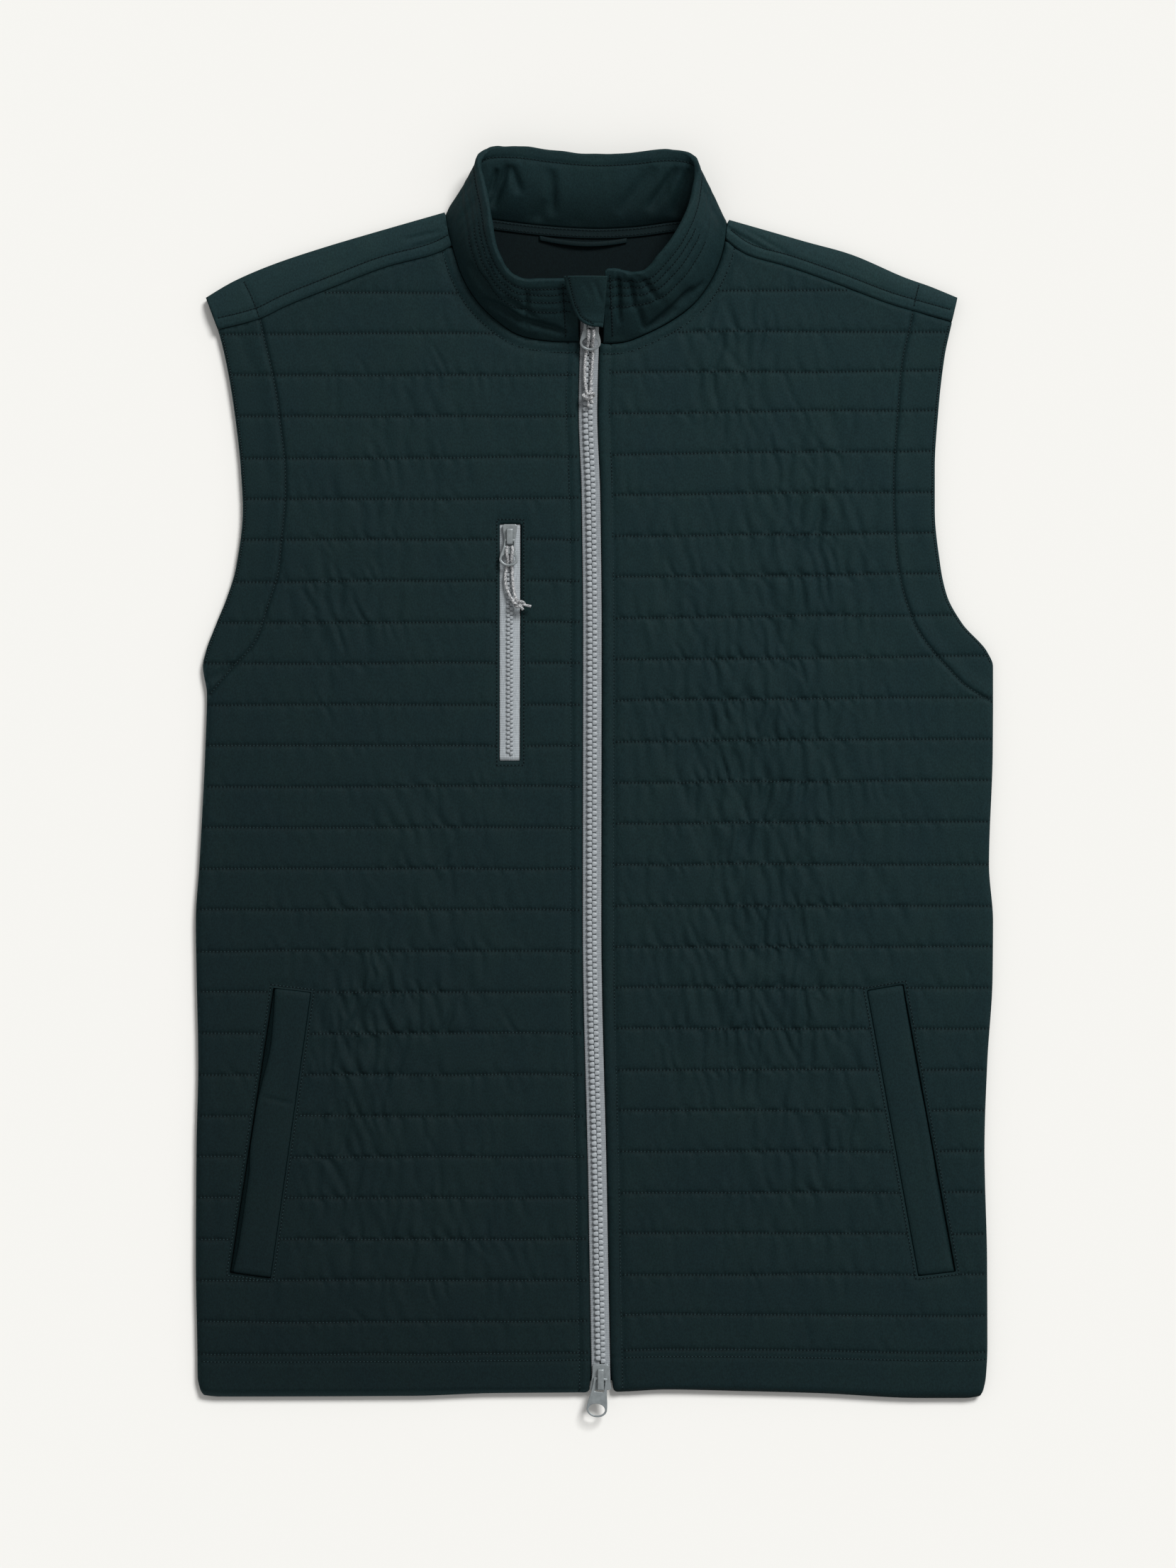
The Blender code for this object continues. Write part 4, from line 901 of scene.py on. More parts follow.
def tube(line, radius, around, twist):
    """Rings of a twisted cord along a line of points, with ridges that wind round it."""
    line = np.asarray(line, float)
    run = unit(np.gradient(line, axis=0))
    side = unit(np.cross(run, UPRIGHT))
    over = np.cross(side, run)
    angle = math.tau * np.arange(around) / around
    phase = CORD_STRANDS * angle[None, :] + twist * lengths_along(line)[:, None]
    reach = radius * (1 - CORD_GROOVE + CORD_GROOVE * np.abs(np.cos(phase / 2)))[..., None]
    ring = side[:, None] * np.cos(angle)[None, :, None] + over[:, None] * np.sin(angle)[None, :, None]
    return line[:, None] + ring * reach


side_edge = {"right": curve_through(SIDE_ROWS, 1), "left": curve_through(SIDE_ROWS, 2)}
hem_line = curve_through(HEM_ROWS)
zip_middle = curve_through(ZIP_LINE)
collar_wall = curve_through(COLLAR_PROFILE)
yoke_wall = curve_through(YOKE_PROFILE)
welt_wall = curve_through(WELT_PROFILE)


def zip_level(y):
    """Height of the underside of the zip tapes: flat on the back, then up the collar's front edges."""
    return FRONT_FLOOR + RISE_SLOPE * RISE_SOFT * np.log1p(np.exp((y - RISE_START) / RISE_SOFT))


class Surface:
    """One material in the making: its nodes are added one by one and end in its shader."""

    def __init__(self, name, sockets):
        self.material = bpy.data.materials.new(name)
        self.material.use_nodes = True
        self.tree = self.material.node_tree
        self.shader = self.tree.nodes["Principled BSDF"]
        for socket, value in sockets.items():
            self.shader.inputs[socket].default_value = value

    def add(self, kind, values, links):
        """A node with values on some sockets and links into others."""
        node = self.tree.nodes.new("ShaderNode" + kind)
        for socket, value in values.items():
            node.inputs[socket].default_value = value
        for socket, source in links.items():
            self.tree.links.new(source, node.inputs[socket])
        return node

    def place(self):
        return self.add("TexCoord", {}, {}).outputs["Object"]

    def noise(self, scale, detail=2.0, stretch=(1.0, 1.0, 1.0)):
        stretched = self.add("Mapping", {"Scale": stretch}, {"Vector": self.place()})
        source = stretched.outputs["Vector"]
        grain = self.add("TexNoise", {"Scale": scale, "Detail": detail}, {"Vector": source})
        return grain.outputs["Fac"]

    def ramp(self, factor, dark, light, low=0.3, high=0.7):
        node = self.add("ValToRGB", {}, {"Fac": factor})
        for end, position, colour in ((0, low, dark), (1, high, light)):
            node.color_ramp.elements[end].position = position
            node.color_ramp.elements[end].color = (*colour, 1)
        return node.outputs["Color"]

    def multiply(self, first, second):
        node = self.add("Mix", {"Factor": 1.0}, {})
        node.data_type = "RGBA"
        node.blend_type = "MULTIPLY"
        self.tree.links.new(first, node.inputs[6])
        self.tree.links.new(second, node.inputs[7])
        return node.outputs[2]

    def colour(self, source):
        self.tree.links.new(source, self.shader.inputs["Base Color"])

    def bump(self, height, distance, strength):
        node = self.add("Bump", {"Distance": distance, "Strength": strength}, {"Height": height})
        self.tree.links.new(node.outputs["Normal"], self.shader.inputs["Normal"])

    def fade(self):
        """Painted light: a slow change of tone from the hem to the shoulders, brighter towards them."""
        along = self.add("VectorMath", {1: PAINTED_LIGHT_ALONG}, {0: self.place()})
        along.operation = "DOT_PRODUCT"
        source = along.outputs["Value"]
        span = self.add("MapRange", {"From Min": PAINTED_LIGHT_FROM, "From Max": PAINTED_LIGHT_TO}, {"Value": source})
        return self.ramp(span.outputs["Result"], PAINTED_LIGHT_LOW, PAINTED_LIGHT_HIGH, 0.0, 1.0)


def cloth(name, colour, roughness, sheen=0.0):
    """Closely woven cloth: fine upright slubs, broad faint patches, painted light towards the shoulders, and
    painted shade where its mesh marks it.
    """
    made = Surface(name, {"Roughness": roughness, "Specular IOR Level": CLOTH_GLOSS, "Sheen Weight": sheen,
                          "Sheen Roughness": 0.45})
    base = linear(*colour)
    slub = made.noise(1.0, 2.0, (1250.0, 760.0, 900.0))
    patch = made.noise(38.0, 3.0, (1.0, 0.8, 1.0))
    fine = made.ramp(slub, base * 0.78, base * 1.2)
    broad = made.ramp(patch, (0.9, 0.93, 0.97), (1.04, 1.02, 0.99))
    # Painted shade: darker where the mesh's per-point value is high, as at needle holes, along the armhole's
    # line and inside the back of the collar.
    painted_shade_node = made.add("Attribute", {}, {})
    painted_shade_node.attribute_name = "pull"
    shaded_tone = made.ramp(painted_shade_node.outputs["Fac"], (1, 1, 1), PAINTED_SHADE_TONE, 0.05, 0.95)
    # Painted light: the weave brightens slowly towards the shoulders.
    weave_with_painted_light = made.multiply(made.multiply(fine, broad), made.fade())
    made.colour(made.multiply(weave_with_painted_light, shaded_tone))
    made.bump(slub, 0.00012, 0.5)
    return made.material


def thread(name, colour, roughness):
    """Spun thread with a fine grain."""
    made = Surface(name, {"Roughness": roughness, "Specular IOR Level": CLOTH_GLOSS})
    base = linear(*colour)
    made.colour(made.ramp(made.noise(2600.0), base * 0.75, base * 1.25))
    return made.material


def ribbed(name, colour):
    """Zip tape: ribs across it and fine warp lines along it."""
    made = Surface(name, {"Roughness": 0.85, "Sheen Weight": 0.15})
    base = linear(*colour)
    waves = {"Scale": math.tau / 20 / RIB_PITCH, "Distortion": 0.6}
    ribs = made.add("TexWave", waves, {"Vector": made.place()})
    ribs.bands_direction = "Y"
    warp = made.noise(1.0, 2.0, (2400.0, 240.0, 900.0))
    fine = made.ramp(warp, base * 0.8, base * 1.12)
    across = made.ramp(ribs.outputs["Fac"], (0.9, 0.9, 0.91), (1, 1, 1), 0.1, 0.8)
    made.colour(made.multiply(fine, across))
    made.bump(ribs.outputs["Fac"], 0.00018, 0.6)
    return made.material


def moulded(name, colour, roughness, metallic):
    """Moulded or enamelled surface with faint flow marks and worn patches."""
    made = Surface(name, {"Roughness": roughness, "Metallic": metallic})
    base = linear(*colour)
    made.colour(made.ramp(made.noise(420.0, 4.0), base * 0.86, base * 1.1))
    made.bump(made.noise(2400.0), 0.00006, 0.4)
    return made.material


def flecked(name, dark, light):
    """Twisted yarn with light flecks."""
    made = Surface(name, {"Roughness": 0.8, "Sheen Weight": 0.2})
    fleck = made.noise(1150.0)
    made.colour(made.ramp(fleck, linear(*dark), linear(*light), 0.42, 0.6))
    made.bump(fleck, 0.0001, 0.5)
    return made.material


class Finish:
    """Materials, each with its own weave, grain or wear, some with painted light and painted shade."""

    def __init__(self):
        self.shell = cloth("shell_cloth", (16, 34, 36), 0.72)
        # Painted light: the yoke cloth is a lighter copy of the shell cloth, for the shoulders catching the
        # light from beyond the collar; the zip's flap uses it too.
        self.yoke = cloth("yoke_cloth", (21, 40, 42), 0.72, 0.02)
        self.lining = cloth("lining_cloth", (4, 15, 17), 0.8)
        self.neck_tape = cloth("neck_tape_cloth", (7, 21, 23), 0.7)
        self.thread = thread("thread", (41, 59, 62), 0.7)
        self.dim_thread = thread("dim_thread", (26, 40, 43), 0.7)
        # Painted shade: the dark finish of the discs at the needle holes.
        self.hole = thread("needle_hole_shade", (9, 18, 20), 0.95)
        self.tape = ribbed("zip_tape", (146, 152, 156))
        self.pale_tape = ribbed("chest_tape", (168, 175, 179))
        self.teeth = moulded("zip_teeth", (158, 164, 168), 0.42, 0.0)
        self.metal = moulded("zip_enamel", (140, 147, 149), 0.33, 0.35)
        self.cord = flecked("cord_yarn", (118, 121, 124), (200, 201, 202))


class Stitching:
    """Rows of thread collected into one piece: bars of thread from hole to hole, and dark discs of painted
    shade at the holes.
    """

    def __init__(self, name, thread_finish, hole_shade_finish):
        self.name = name
        self.finish = (thread_finish, hole_shade_finish)
        self.parts, self.kinds = [], []

    def add(self, points, faces, kind):
        self.parts.append((points.reshape(-1, 3), faces))
        self.kinds.append(np.full(len(faces), kind))

    def run(self, line, up=UPRIGHT, pitch=STITCH_PITCH):
        """Stitches along a line of points on the cloth; up is the cloth's outward direction there."""
        line = np.asarray(line, float)
        if len(line) < 2 or lengths_along(line)[-1] < 2 * pitch:
            return
        normals = np.broadcast_to(np.asarray(up, float), line.shape)
        both = resample(np.hstack((line, normals)), pitch)
        self.sew(both[:, :3], both[:, 3:])

    def sew(self, at, out):
        """Stitches from hole to hole at the given points."""
        along = unit(np.gradient(at, axis=0))
        out = unit(out - along * np.sum(out * along, axis=1)[:, None])
        side = np.cross(along, out)
        self.threads(at, out[:-1], side[:-1])
        self.shaded_holes(at, out, side, along)

    def threads(self, at, out, side):
        wide, high = THREAD_HALF
        rings = []
        for share, girth, lift in THREAD_RINGS:
            middle = mix(at[:-1], at[1:], share) + out * lift
            ring = [middle + (side * math.cos(a) * wide + out * math.sin(a) * high) * girth
                    for a in np.radians(THREAD_CORNERS)]
            rings.append(np.stack(ring, axis=1))
        points = np.stack(rings, axis=1)
        count = points.shape[1] * points.shape[2]
        one = skin_faces(*points.shape[1:3])
        self.add(points, [tuple(count * k + i for i in f) for k in range(len(points)) for f in one], 0)

    # Dark discs of painted shade over the needle holes.
    def shaded_holes(self, at, out, side, along):
        angles = math.tau * np.arange(HOLE_SIDES) / HOLE_SIDES
        rim = [at + out * HOLE_LIFT + along * math.cos(a) * HOLE_HALF[0] + side * math.sin(a) * HOLE_HALF[1]
               for a in angles]
        starts = HOLE_SIDES * np.arange(len(at))
        self.add(np.stack(rim, axis=1), [tuple(range(start, start + HOLE_SIDES)) for start in starts], 1)

    def build(self, body):
        obj = piece(self.name, *join(self.parts), self.finish, body, "shell")
        obj.data.polygons.foreach_set("material_index", np.concatenate(self.kinds).astype(np.int32))


class Collar:
    """The collar's wall worked out section by section, and the neck edge that the panels are sewn to."""

    def __init__(self):
        rows = spline_rows(COLLAR_ROWS, COLLAR_BETWEEN)
        self.base, self.top, self.bow = rows[:, 0:3], rows[:, 3:6], rows[:, 6]
        self.place = np.arange(len(rows)) / COLLAR_BETWEEN
        self.height = np.linalg.norm(self.top - self.base, axis=1)

    def outward(self, shares):
        """Unit vectors out of the outer face, for each section and each share of the way up."""
        line = mix(self.base[:, None], self.top[:, None], np.asarray(shares)[None, :, None])
        return unit(np.cross((self.top - self.base)[:, None], np.gradient(line, axis=0)))

    def middle(self, shares):
        """The middle of the wall, bowed and creased, for each section and each share of the way up."""
        shares = np.asarray(shares, float)
        bow = (4 * shares * (1 - shares))[None, :] * self.bow[:, None]
        out = self.outward(shares)
        line = mix(self.base[:, None], self.top[:, None], shares[None, :, None]) + out * bow[..., None]
        places = line[..., :2].reshape(-1, 2)
        free = (smooth((0.97 - shares) / 0.1) * smooth(shares / COLLAR_HELD))[None, :]
        fronts = self.front_share()[:, None]
        for outside, sign, share in ((1, -1, fronts), (0, 1, 1 - fronts)):
            deep = sink(places, [row[:6] for row in COLLAR_CREASES if row[6] == outside]).reshape(bow.shape)
            line = line + sign * out * (deep * free * share)[..., None]
        return line

    def front_share(self):
        """1 along the two fronts of the collar and 0 round its back."""
        from_fold = np.maximum(COLLAR_RIGHT_FOLD - self.place, self.place - COLLAR_LEFT_FOLD)
        return smooth((from_fold + 1.0) / 2.0)

    def relief(self, shares, outside):
        """How far a face stands off its plain form: rolled lip, rows of stitches and soft waves."""
        up = np.asarray(shares, float)[None, :] * np.ones((len(self.place), 1))
        reach, place = self.height[:, None], self.place[:, None]
        roll, roll_at, roll_half = COLLAR_ROLL
        made = roll * bell((up - roll_at) * reach, roll_half)
        deep, half = COLLAR_GROOVE
        made -= deep * bell((up - COLLAR_TOPSTITCH) * reach, half)
        deep, half = COLLAR_ROW_GROOVE
        for row in COLLAR_ROWS_UP if outside else ():
            made -= deep * self.front_share()[:, None] * bell((up - row) * reach, half)
        held = smooth(up / COLLAR_HELD) * smooth((COLLAR_TOPSTITCH - up) / 0.1)
        for rise, along, start, steep, shift, seed in COLLAR_WAVES:
            made += held * rise * lattice_noise(place * along + start, up * steep + shift * outside, seed)
        along, steep = COLLAR_LIP_CELLS
        waves = lattice_noise(place * along, up * steep, COLLAR_LIP_SEED)
        made += COLLAR_LIP_WAVE * smooth((up - 0.85) / 0.1) * waves
        return made

    def face(self, shares, outside):
        shares = np.asarray(shares, float)
        sign = 1 if outside else -1
        reach = 0.5 * COLLAR_WALL * collar_wall(shares)[None, :] + self.relief(shares, outside)
        return self.middle(shares) + sign * self.outward(shares) * np.maximum(reach, LEAST_WALL)[..., None]

    def neck_line(self, first, last, gap=NECK_GAP):
        """Neck edge (x, y) of a panel, a gap away from the collar, between two rows of the table."""
        clear = self.outward([0.0])[:, 0, :2] * (0.5 * COLLAR_WALL)
        edge = self.base[:, :2] + clear - unit((self.top - self.base)[:, :2]) * gap
        return edge[first * COLLAR_BETWEEN:last * COLLAR_BETWEEN + 1]

    def build(self, finish):
        """Outer face, rolled lip and inner face, with painted shade that darkens the inner face towards its
        root round the back of the neck.
        """
        shares = np.linspace(0.0, 1.0, COLLAR_UP)
        outer = self.face(shares, True)
        inner = self.face(shares, False)[:, ::-1]
        over = (self.top - self.base) / self.height[:, None]
        half = 0.5 * (outer[:, -1] - inner[:, 0])
        centre = 0.5 * (outer[:, -1] + inner[:, 0])
        waves = lattice_noise(self.place * COLLAR_LOOSE_CELLS, self.place * 0, COLLAR_LOOSE_SEED)
        loose = COLLAR_LOOSE[0] + COLLAR_LOOSE[1] * waves
        rolled = over * (COLLAR_LIP * loose)[:, None]
        turns = np.linspace(0.0, math.pi, 9)[1:-1]
        lip = np.stack([centre + half * math.cos(a) + rolled * math.sin(a) for a in turns], axis=1)
        tuck = (0.5 * (outer[:, 0] + inner[:, -1]) - over * COLLAR_TUCK)[:, None]
        loops = np.concatenate((outer, lip, inner, tuck), axis=1)
        loops[..., 2] = np.maximum(loops[..., 2], COLLAR_LOWEST)
        # Painted shade on the inner face round the back: darkest at its root, and darker towards the wearer's
        # left.
        deep = (1 - shares[::-1]) ** COLLAR_SHADE_POWER * (1 - self.front_share())[:, None]
        aside = 1 + COLLAR_SHADE_LEAN * np.clip(inner[..., 0] / COLLAR_SHADE_REACH, -1, 1)
        shade = np.zeros(loops.shape[:2])
        shade[:, outer.shape[1] + lip.shape[1]:-1] = COLLAR_SHADE * deep * aside
        loft("collar_cloth", loops, finish.shell, "vest", "shell", "collar", shade.ravel())

    def sew(self, stitching):
        """Rows of stitches along the lip all round, outside on the two fronts, and up their edges."""
        out = self.outward([COLLAR_TOPSTITCH])[:, 0]
        trim = slice(COLLAR_TRIM, -COLLAR_TRIM)
        for outside, sign in ((True, 1), (False, -1)):
            stitching.run(self.face([COLLAR_TOPSTITCH], outside)[trim, 0], sign * out[trim])
        last = len(COLLAR_ROWS) - 1
        for row in COLLAR_ROWS_UP:
            line, up = self.face([row], True)[:, 0], self.outward([row])[:, 0]
            for first, end in ((0, COLLAR_RIGHT_FOLD - 2), (COLLAR_LEFT_FOLD + 2, last)):
                part = slice(first * COLLAR_BETWEEN + COLLAR_TRIM, end * COLLAR_BETWEEN - COLLAR_TRIM)
                stitching.run(line[part], up[part])
        shares = np.linspace(0.1, 0.95, 40)
        face, up = self.face(shares, True), self.outward(shares)
        for place in (COLLAR_PLACKET, last - COLLAR_PLACKET):
            section = int(round(place * COLLAR_BETWEEN))
            stitching.run(face[section], up[section])


class Front:
    """One quilted front: its outline, the height of its cloth anywhere, and its rows of stitches."""

    def __init__(self, side, collar):
        self.side = side
        self.sign = SIDES[side]
        seam = spline_rows(YOKE_SEAM[side], EDGE_BETWEEN)
        if side == "right":
            neck = collar.neck_line(0, COLLAR_RIGHT_FOLD - 1)
        else:
            neck = collar.neck_line(COLLAR_LEFT_FOLD + 1, len(COLLAR_ROWS) - 1)[::-1]
        under = neck[:, 1] < np.interp(np.abs(neck[:, 0]), np.abs(seam[::-1, 0]), seam[::-1, 1]) - 0.4
        self.neck = neck[:np.argmin(under)] if not under.all() else neck
        self.neck_y = self.neck[0, 1]
        self.seam = seam[np.abs(seam[:, 0]) > abs(self.neck[-1, 0]) + 1.0]
        self.yoke_y = YOKE_SEAM[side][0][1]
        self.armhole = spline_rows(ARMHOLE_LINE[side], 3)
        rows = [QUILT_FIRST[side] - k * QUILT_PITCH[side] for k in range(QUILT_ROWS)]
        self.rows = np.array(sorted(rows + [HEM_STITCH[side], HEM_LEVEL, TOP_LEVEL]))
        self.hem_second = HEM_STITCH[side] - HEM_SECOND_ROW
        self.windows = [welt_window(side, SEAM_GAP)]
        self.frames = [welt_window(side, WELT_FRAME)]
        if side == "right":
            self.windows.append(chest_window(CHEST_HALF, CHEST_BOTTOM, CHEST_TOP))
            self.frames.append(np.array(CHEST_FRAME))
        self.outline = self.make_outline()
        self.strokes = self.make_strokes()

    def inner_x(self, y):
        flare = ZIP_FLARE * smooth((ZIP_FLARE_TOP - y) / ZIP_FLARE_RUN)
        return zip_middle(y) + self.sign * (ZIP_OPENING_HALF + flare)

    def make_outline(self):
        """Closed outline: zip edge, neck, shoulder seam, side, hem and the corner at the zip."""
        side, corner = side_edge[self.side], HEM_CORNER
        low = hem_line(self.inner_x(HEM_LEVEL))
        zip_y = np.linspace(low + corner, self.neck_y, 400)
        zip_edge = np.stack((self.inner_x(zip_y), zip_y), 1)
        side_y = np.linspace(self.yoke_y, SIDE_FOOT, 420)
        side_line = np.stack((side(side_y), side_y), 1)
        turn_x = self.inner_x(low) + self.sign * corner
        hem_x = np.linspace(side(SIDE_FOOT) - self.sign * 2.0, turn_x, 160)
        hem = np.stack((hem_x, hem_line(hem_x)), 1)
        turn = np.linspace(0.0, 0.5 * math.pi, 8)[1:-1]
        centre = np.array((turn_x, low + corner))
        bend = centre - corner * np.column_stack((self.sign * np.sin(turn), np.cos(turn)))
        loop = np.vstack((zip_edge, self.neck, self.seam[::-1], side_line, hem, bend, zip_edge[:1]))
        return resample(loop, EDGE_STEP)[:-1]

    def level(self, x, y):
        """Height in the quilting of points (x, y): rows of stitches are straight there."""
        level = y
        for _ in range(2):
            level = y - self.wander(x, level)
        return level

    def wander(self, x, level):
        """How far a row of stitches rises at x."""
        inner, outer = self.inner_x(level), side_edge[self.side](level)
        across = np.clip((x - inner) / (outer - inner), 0.0, 1.0)
        tilt = QUILT_TILT[self.side] * smooth((level - TILT_FROM) / TILT_RUN)
        tilt = tilt * smooth((self.yoke_y - TILT_BELOW_YOKE - level) / TILT_END_RUN)
        near_hem = smooth((HEM_STITCH[self.side] + HEM_FOLLOWED_FROM - level) / HEM_FOLLOWED_RUN)
        hem = near_hem * (hem_line(x) - HEM_LEVEL)
        wide, high = WANDER_CELL
        loose = QUILT_WANDER * lattice_noise(x / wide, level / high, WANDER_SEED + self.sign)
        return tilt * across + HEM_FOLLOWED * hem + loose

    def between_rows(self, level):
        """Number of the band that a level lies in, and the share of the way up it."""
        band = np.clip(np.searchsorted(self.rows, level, side="right") - 1, 0, len(self.rows) - 2)
        return band, (level - self.rows[band]) / (self.rows[band + 1] - self.rows[band])

    def strength(self, x, y):
        """How strongly the cloth puckers at points (x, y)."""
        strong = np.full(np.shape(x), PUCKER_BASE[self.side])
        for px, py, rx, ry, added in PUCKER_PATCHES[self.side]:
            strong = strong + added * np.exp(-((x - px) / rx) ** 2 - ((y - py) / ry) ** 2)
        return strong

    def make_strokes(self):
        """Puckers of each band: place, row that they start from, reach, slant, half width, depth and sway."""
        chance = np.random.default_rng(PUCKER_SEED + self.sign)
        least, reach_base, reach_added = PUCKER_REACH
        made = []
        for lower, upper in zip(self.rows, self.rows[1:]):
            band = []
            for from_top in (0, 1):
                x = chance.uniform(0.0, PUCKER_EVERY)
                while x < PANEL_WIDE:
                    place = self.sign * x
                    strong = float(self.strength(place, upper if from_top else lower))
                    if chance.uniform() < PUCKER_CHANCE[0] + PUCKER_CHANCE[1] * strong:
                        reach = chance.uniform(least, reach_base + reach_added * min(strong, 1.0))
                        slant = chance.normal(0.0, PUCKER_SLANT)
                        depth = PUCKER_DEPTH * strong * chance.uniform(*PUCKER_SHARES)
                        half = chance.uniform(*PUCKER_HALF)
                        sway = chance.uniform(-PUCKER_SWAY, PUCKER_SWAY)
                        band.append((place, from_top, reach, slant, half, depth, sway))
                    x += chance.uniform(*PUCKER_SPREAD) * PUCKER_EVERY
            made.append(band)
        return made

    def pucker(self, x, band, share):
        """Upright puckers: a sunk line between two low ridges, from a row of stitches into the band."""
        made = np.zeros(len(x))
        ridge, ridge_off, ridge_half = PUCKER_RIDGE
        for number in np.unique(band):
            found = np.flatnonzero(band == number)
            wide = self.rows[number + 1] - self.rows[number]
            across, up = x[found], share[found]
            total = np.zeros(len(found))
            for place, from_top, reach, slant, half, depth, sway in self.strokes[number]:
                far = (1 - up if from_top else up) / reach
                off = (across - place - slant * far * reach * wide - sway * np.sin(PUCKER_BENDS * far)) / half
                fade = np.clip(1 - far, 0, 1) ** PUCKER_FADE * smooth(far * reach * wide / PUCKER_RUN)
                total += depth * fade * (ridge * bell(np.abs(off) - ridge_off, ridge_half) - bell(off, 1.0))
            made[found] = np.clip(total, *PUCKER_LIMITS)
        return made

    def tick(self, x, level):
        """How far the thread draws the cloth in, from 0 to 1: most at each needle hole of a row."""
        row = self.rows[1:-1]
        near = np.clip(np.searchsorted(row, level), 1, len(row) - 1)
        below = level - row[near - 1] < row[near] - level
        row = np.where(below, row[near - 1], row[near])
        along = self.sign * (x - self.inner_x(row)) / STITCH_PITCH
        return (0.5 + 0.5 * np.cos(math.tau * along)) ** 1.4 * bell(level - row, TICK_REACH)

    def height(self, points):
        """Height of the cloth's outer face at points (x, y)."""
        x, y = points[:, 0], points[:, 1]
        level = self.level(x, y)
        band, share = self.between_rows(level)
        from_zip = np.where(y < self.neck_y + 1, self.sign * (x - self.inner_x(y)), FAR)
        from_side = np.where(y < self.yoke_y, self.sign * (side_edge[self.side](y) - x), FAR)
        from_neck, from_seam = distance_to(points, self.neck), distance_to(points, self.seam)
        armhole = distance_to(points, self.armhole)
        placket = PLACKET_LOOSE[self.side] * smooth(from_zip / PLACKET_RUN)
        loose = np.maximum(smooth((from_zip - ZIP_STRIP) / LOOSE_RUN), placket)
        loose = loose * smooth((from_neck - NECK_TOPSTITCH) / LOOSE_RUN)
        for window in self.windows:
            off = np.where(inside(points, window), 0.0, distance_to(points, closed(window)))
            loose = loose * smooth((off - WELT_FRAME + 0.6) / LOOSE_RUN)
        in_hem = level < HEM_STITCH[self.side]
        off_middle = np.abs(2 * share - 1)
        wall = STITCH_WALL + loose * np.where(in_hem, HEM_SWELL, SWELL) * (1 - off_middle ** SWELL_POWER)
        wide, high = BROAD_CELL
        patches = lattice_noise(x / wide + level / BROAD_LEAN, level / high, BROAD_SEED + self.sign)
        broad = self.strength(x, y) * patches
        ripple = self.pucker(x, band, share) + broad * (1 - off_middle ** 3)
        free = loose * smooth(from_side / SIDE_RUN) * smooth(from_seam / LOOSE_RUN)
        wall = wall + np.where(in_hem, HEM_RIPPLE, 1.0) * free * ripple
        wall = wall - TICK_DEPTH * self.tick(x, level) * np.maximum(loose, 0.4)
        wall = wall - sink(points, FRONT_CREASES[self.side]) * np.maximum(loose, 0.3)
        outside = self.sign * (x - np.interp(y, self.armhole[::-1, 1], self.armhole[::-1, 0])) > 0
        lower = ARMHOLE_DROP * smooth((armhole - 2.5) / 9)
        wall = wall - np.where(outside & (y > self.armhole[-1, 1]), lower, 0.0)
        lines = {"armhole": armhole, "zip": from_zip - ZIP_STRIP, "placket": from_zip - 0.5 * ZIP_STRIP,
                 "neck": from_neck - NECK_TOPSTITCH, "neck roll": from_neck - NECK_ROLL,
                 "hem": level - self.hem_second}
        for name, (rise, half) in FRONT_RELIEF.items():
            wall = wall + rise * bell(lines[name], half)
        edges = {"zip": from_zip, "neck": from_neck, "seam": from_seam, "side": from_side,
                 "hem": y - hem_line(x)}
        for name, (reach, least) in FRONT_EDGES.items():
            near = 1 - np.clip(edges[name] / reach, 0, 1)
            wall = wall * mix(least, 1.0, np.sqrt(1 - near * near))
        return FRONT_FLOOR + np.maximum(wall, 0.5)

    def place(self, points):
        points = np.asarray(points, float)
        return np.column_stack((points, self.height(points)))

    def build(self, finish):
        """The outer face on a fine grid that follows the rows, with its edges turned in under it."""
        edges = [self.outline] + [resample(closed(w), EDGE_STEP)[:-1] for w in self.windows]
        grid = self.make_grid()
        keep = inside(grid, self.outline)
        for edge in edges:
            keep &= nearest(grid, edge) > 0.9
        for window in self.windows:
            keep &= ~inside(grid, window)
        flat, faces, rings = fill(edges, grid[keep], self.outline, self.windows)
        points, faces = self.place(flat), [tuple(f) for f in faces]
        for number, ring in enumerate(rings):
            points, faces = self.turn_in(points, faces, ring, -1 if number == 0 else 1)
        # Painted shade of the outer face's points: at the needle holes of each row and along the armhole's
        # line.
        pull = np.zeros(len(points))
        pull[:len(flat)] = self.painted_stitch_shade(flat)
        name = "front_" + self.side
        piece(name + "_cloth", points, faces, finish.shell, "vest", "shell", name, pull)

    def make_grid(self):
        """Points (x, y) of the outer face: crowded along the rows and along the armhole's line."""
        x = np.arange(self.outline[:, 0].min(), self.outline[:, 0].max(), GRID_STEP)
        far = ROW_STEPS[-1]
        grid = []
        for lower, upper in zip(self.rows, self.rows[1:]):
            steps = max(2, int(round((upper - lower - 2 * far) / GRID_STEP)))
            grid += [np.column_stack((x, np.full(len(x), y)))
                     for y in np.linspace(lower + far, upper - far, steps + 1)]
        across = self.sign * np.arange(0.0, PANEL_REACH, STITCH_PITCH / 2)
        for row in self.rows[1:-1]:
            for step in (*ROW_STEPS[:-1], *(-step for step in ROW_STEPS[1:-1])):
                grid.append(np.column_stack((self.inner_x(row) + across, np.full(len(across), row + step))))
        grid = np.vstack(grid)
        grid[:, 1] += self.wander(grid[:, 0], grid[:, 1])
        line = resample(spline_rows(ARMHOLE_LINE[self.side], LINE_BETWEEN), 1.1)
        beside = [line] + [self.parallel(line, reach) for reach in ARMHOLE_STEPS]
        return np.vstack([grid[nearest(grid, line) > 2.6]] + beside)

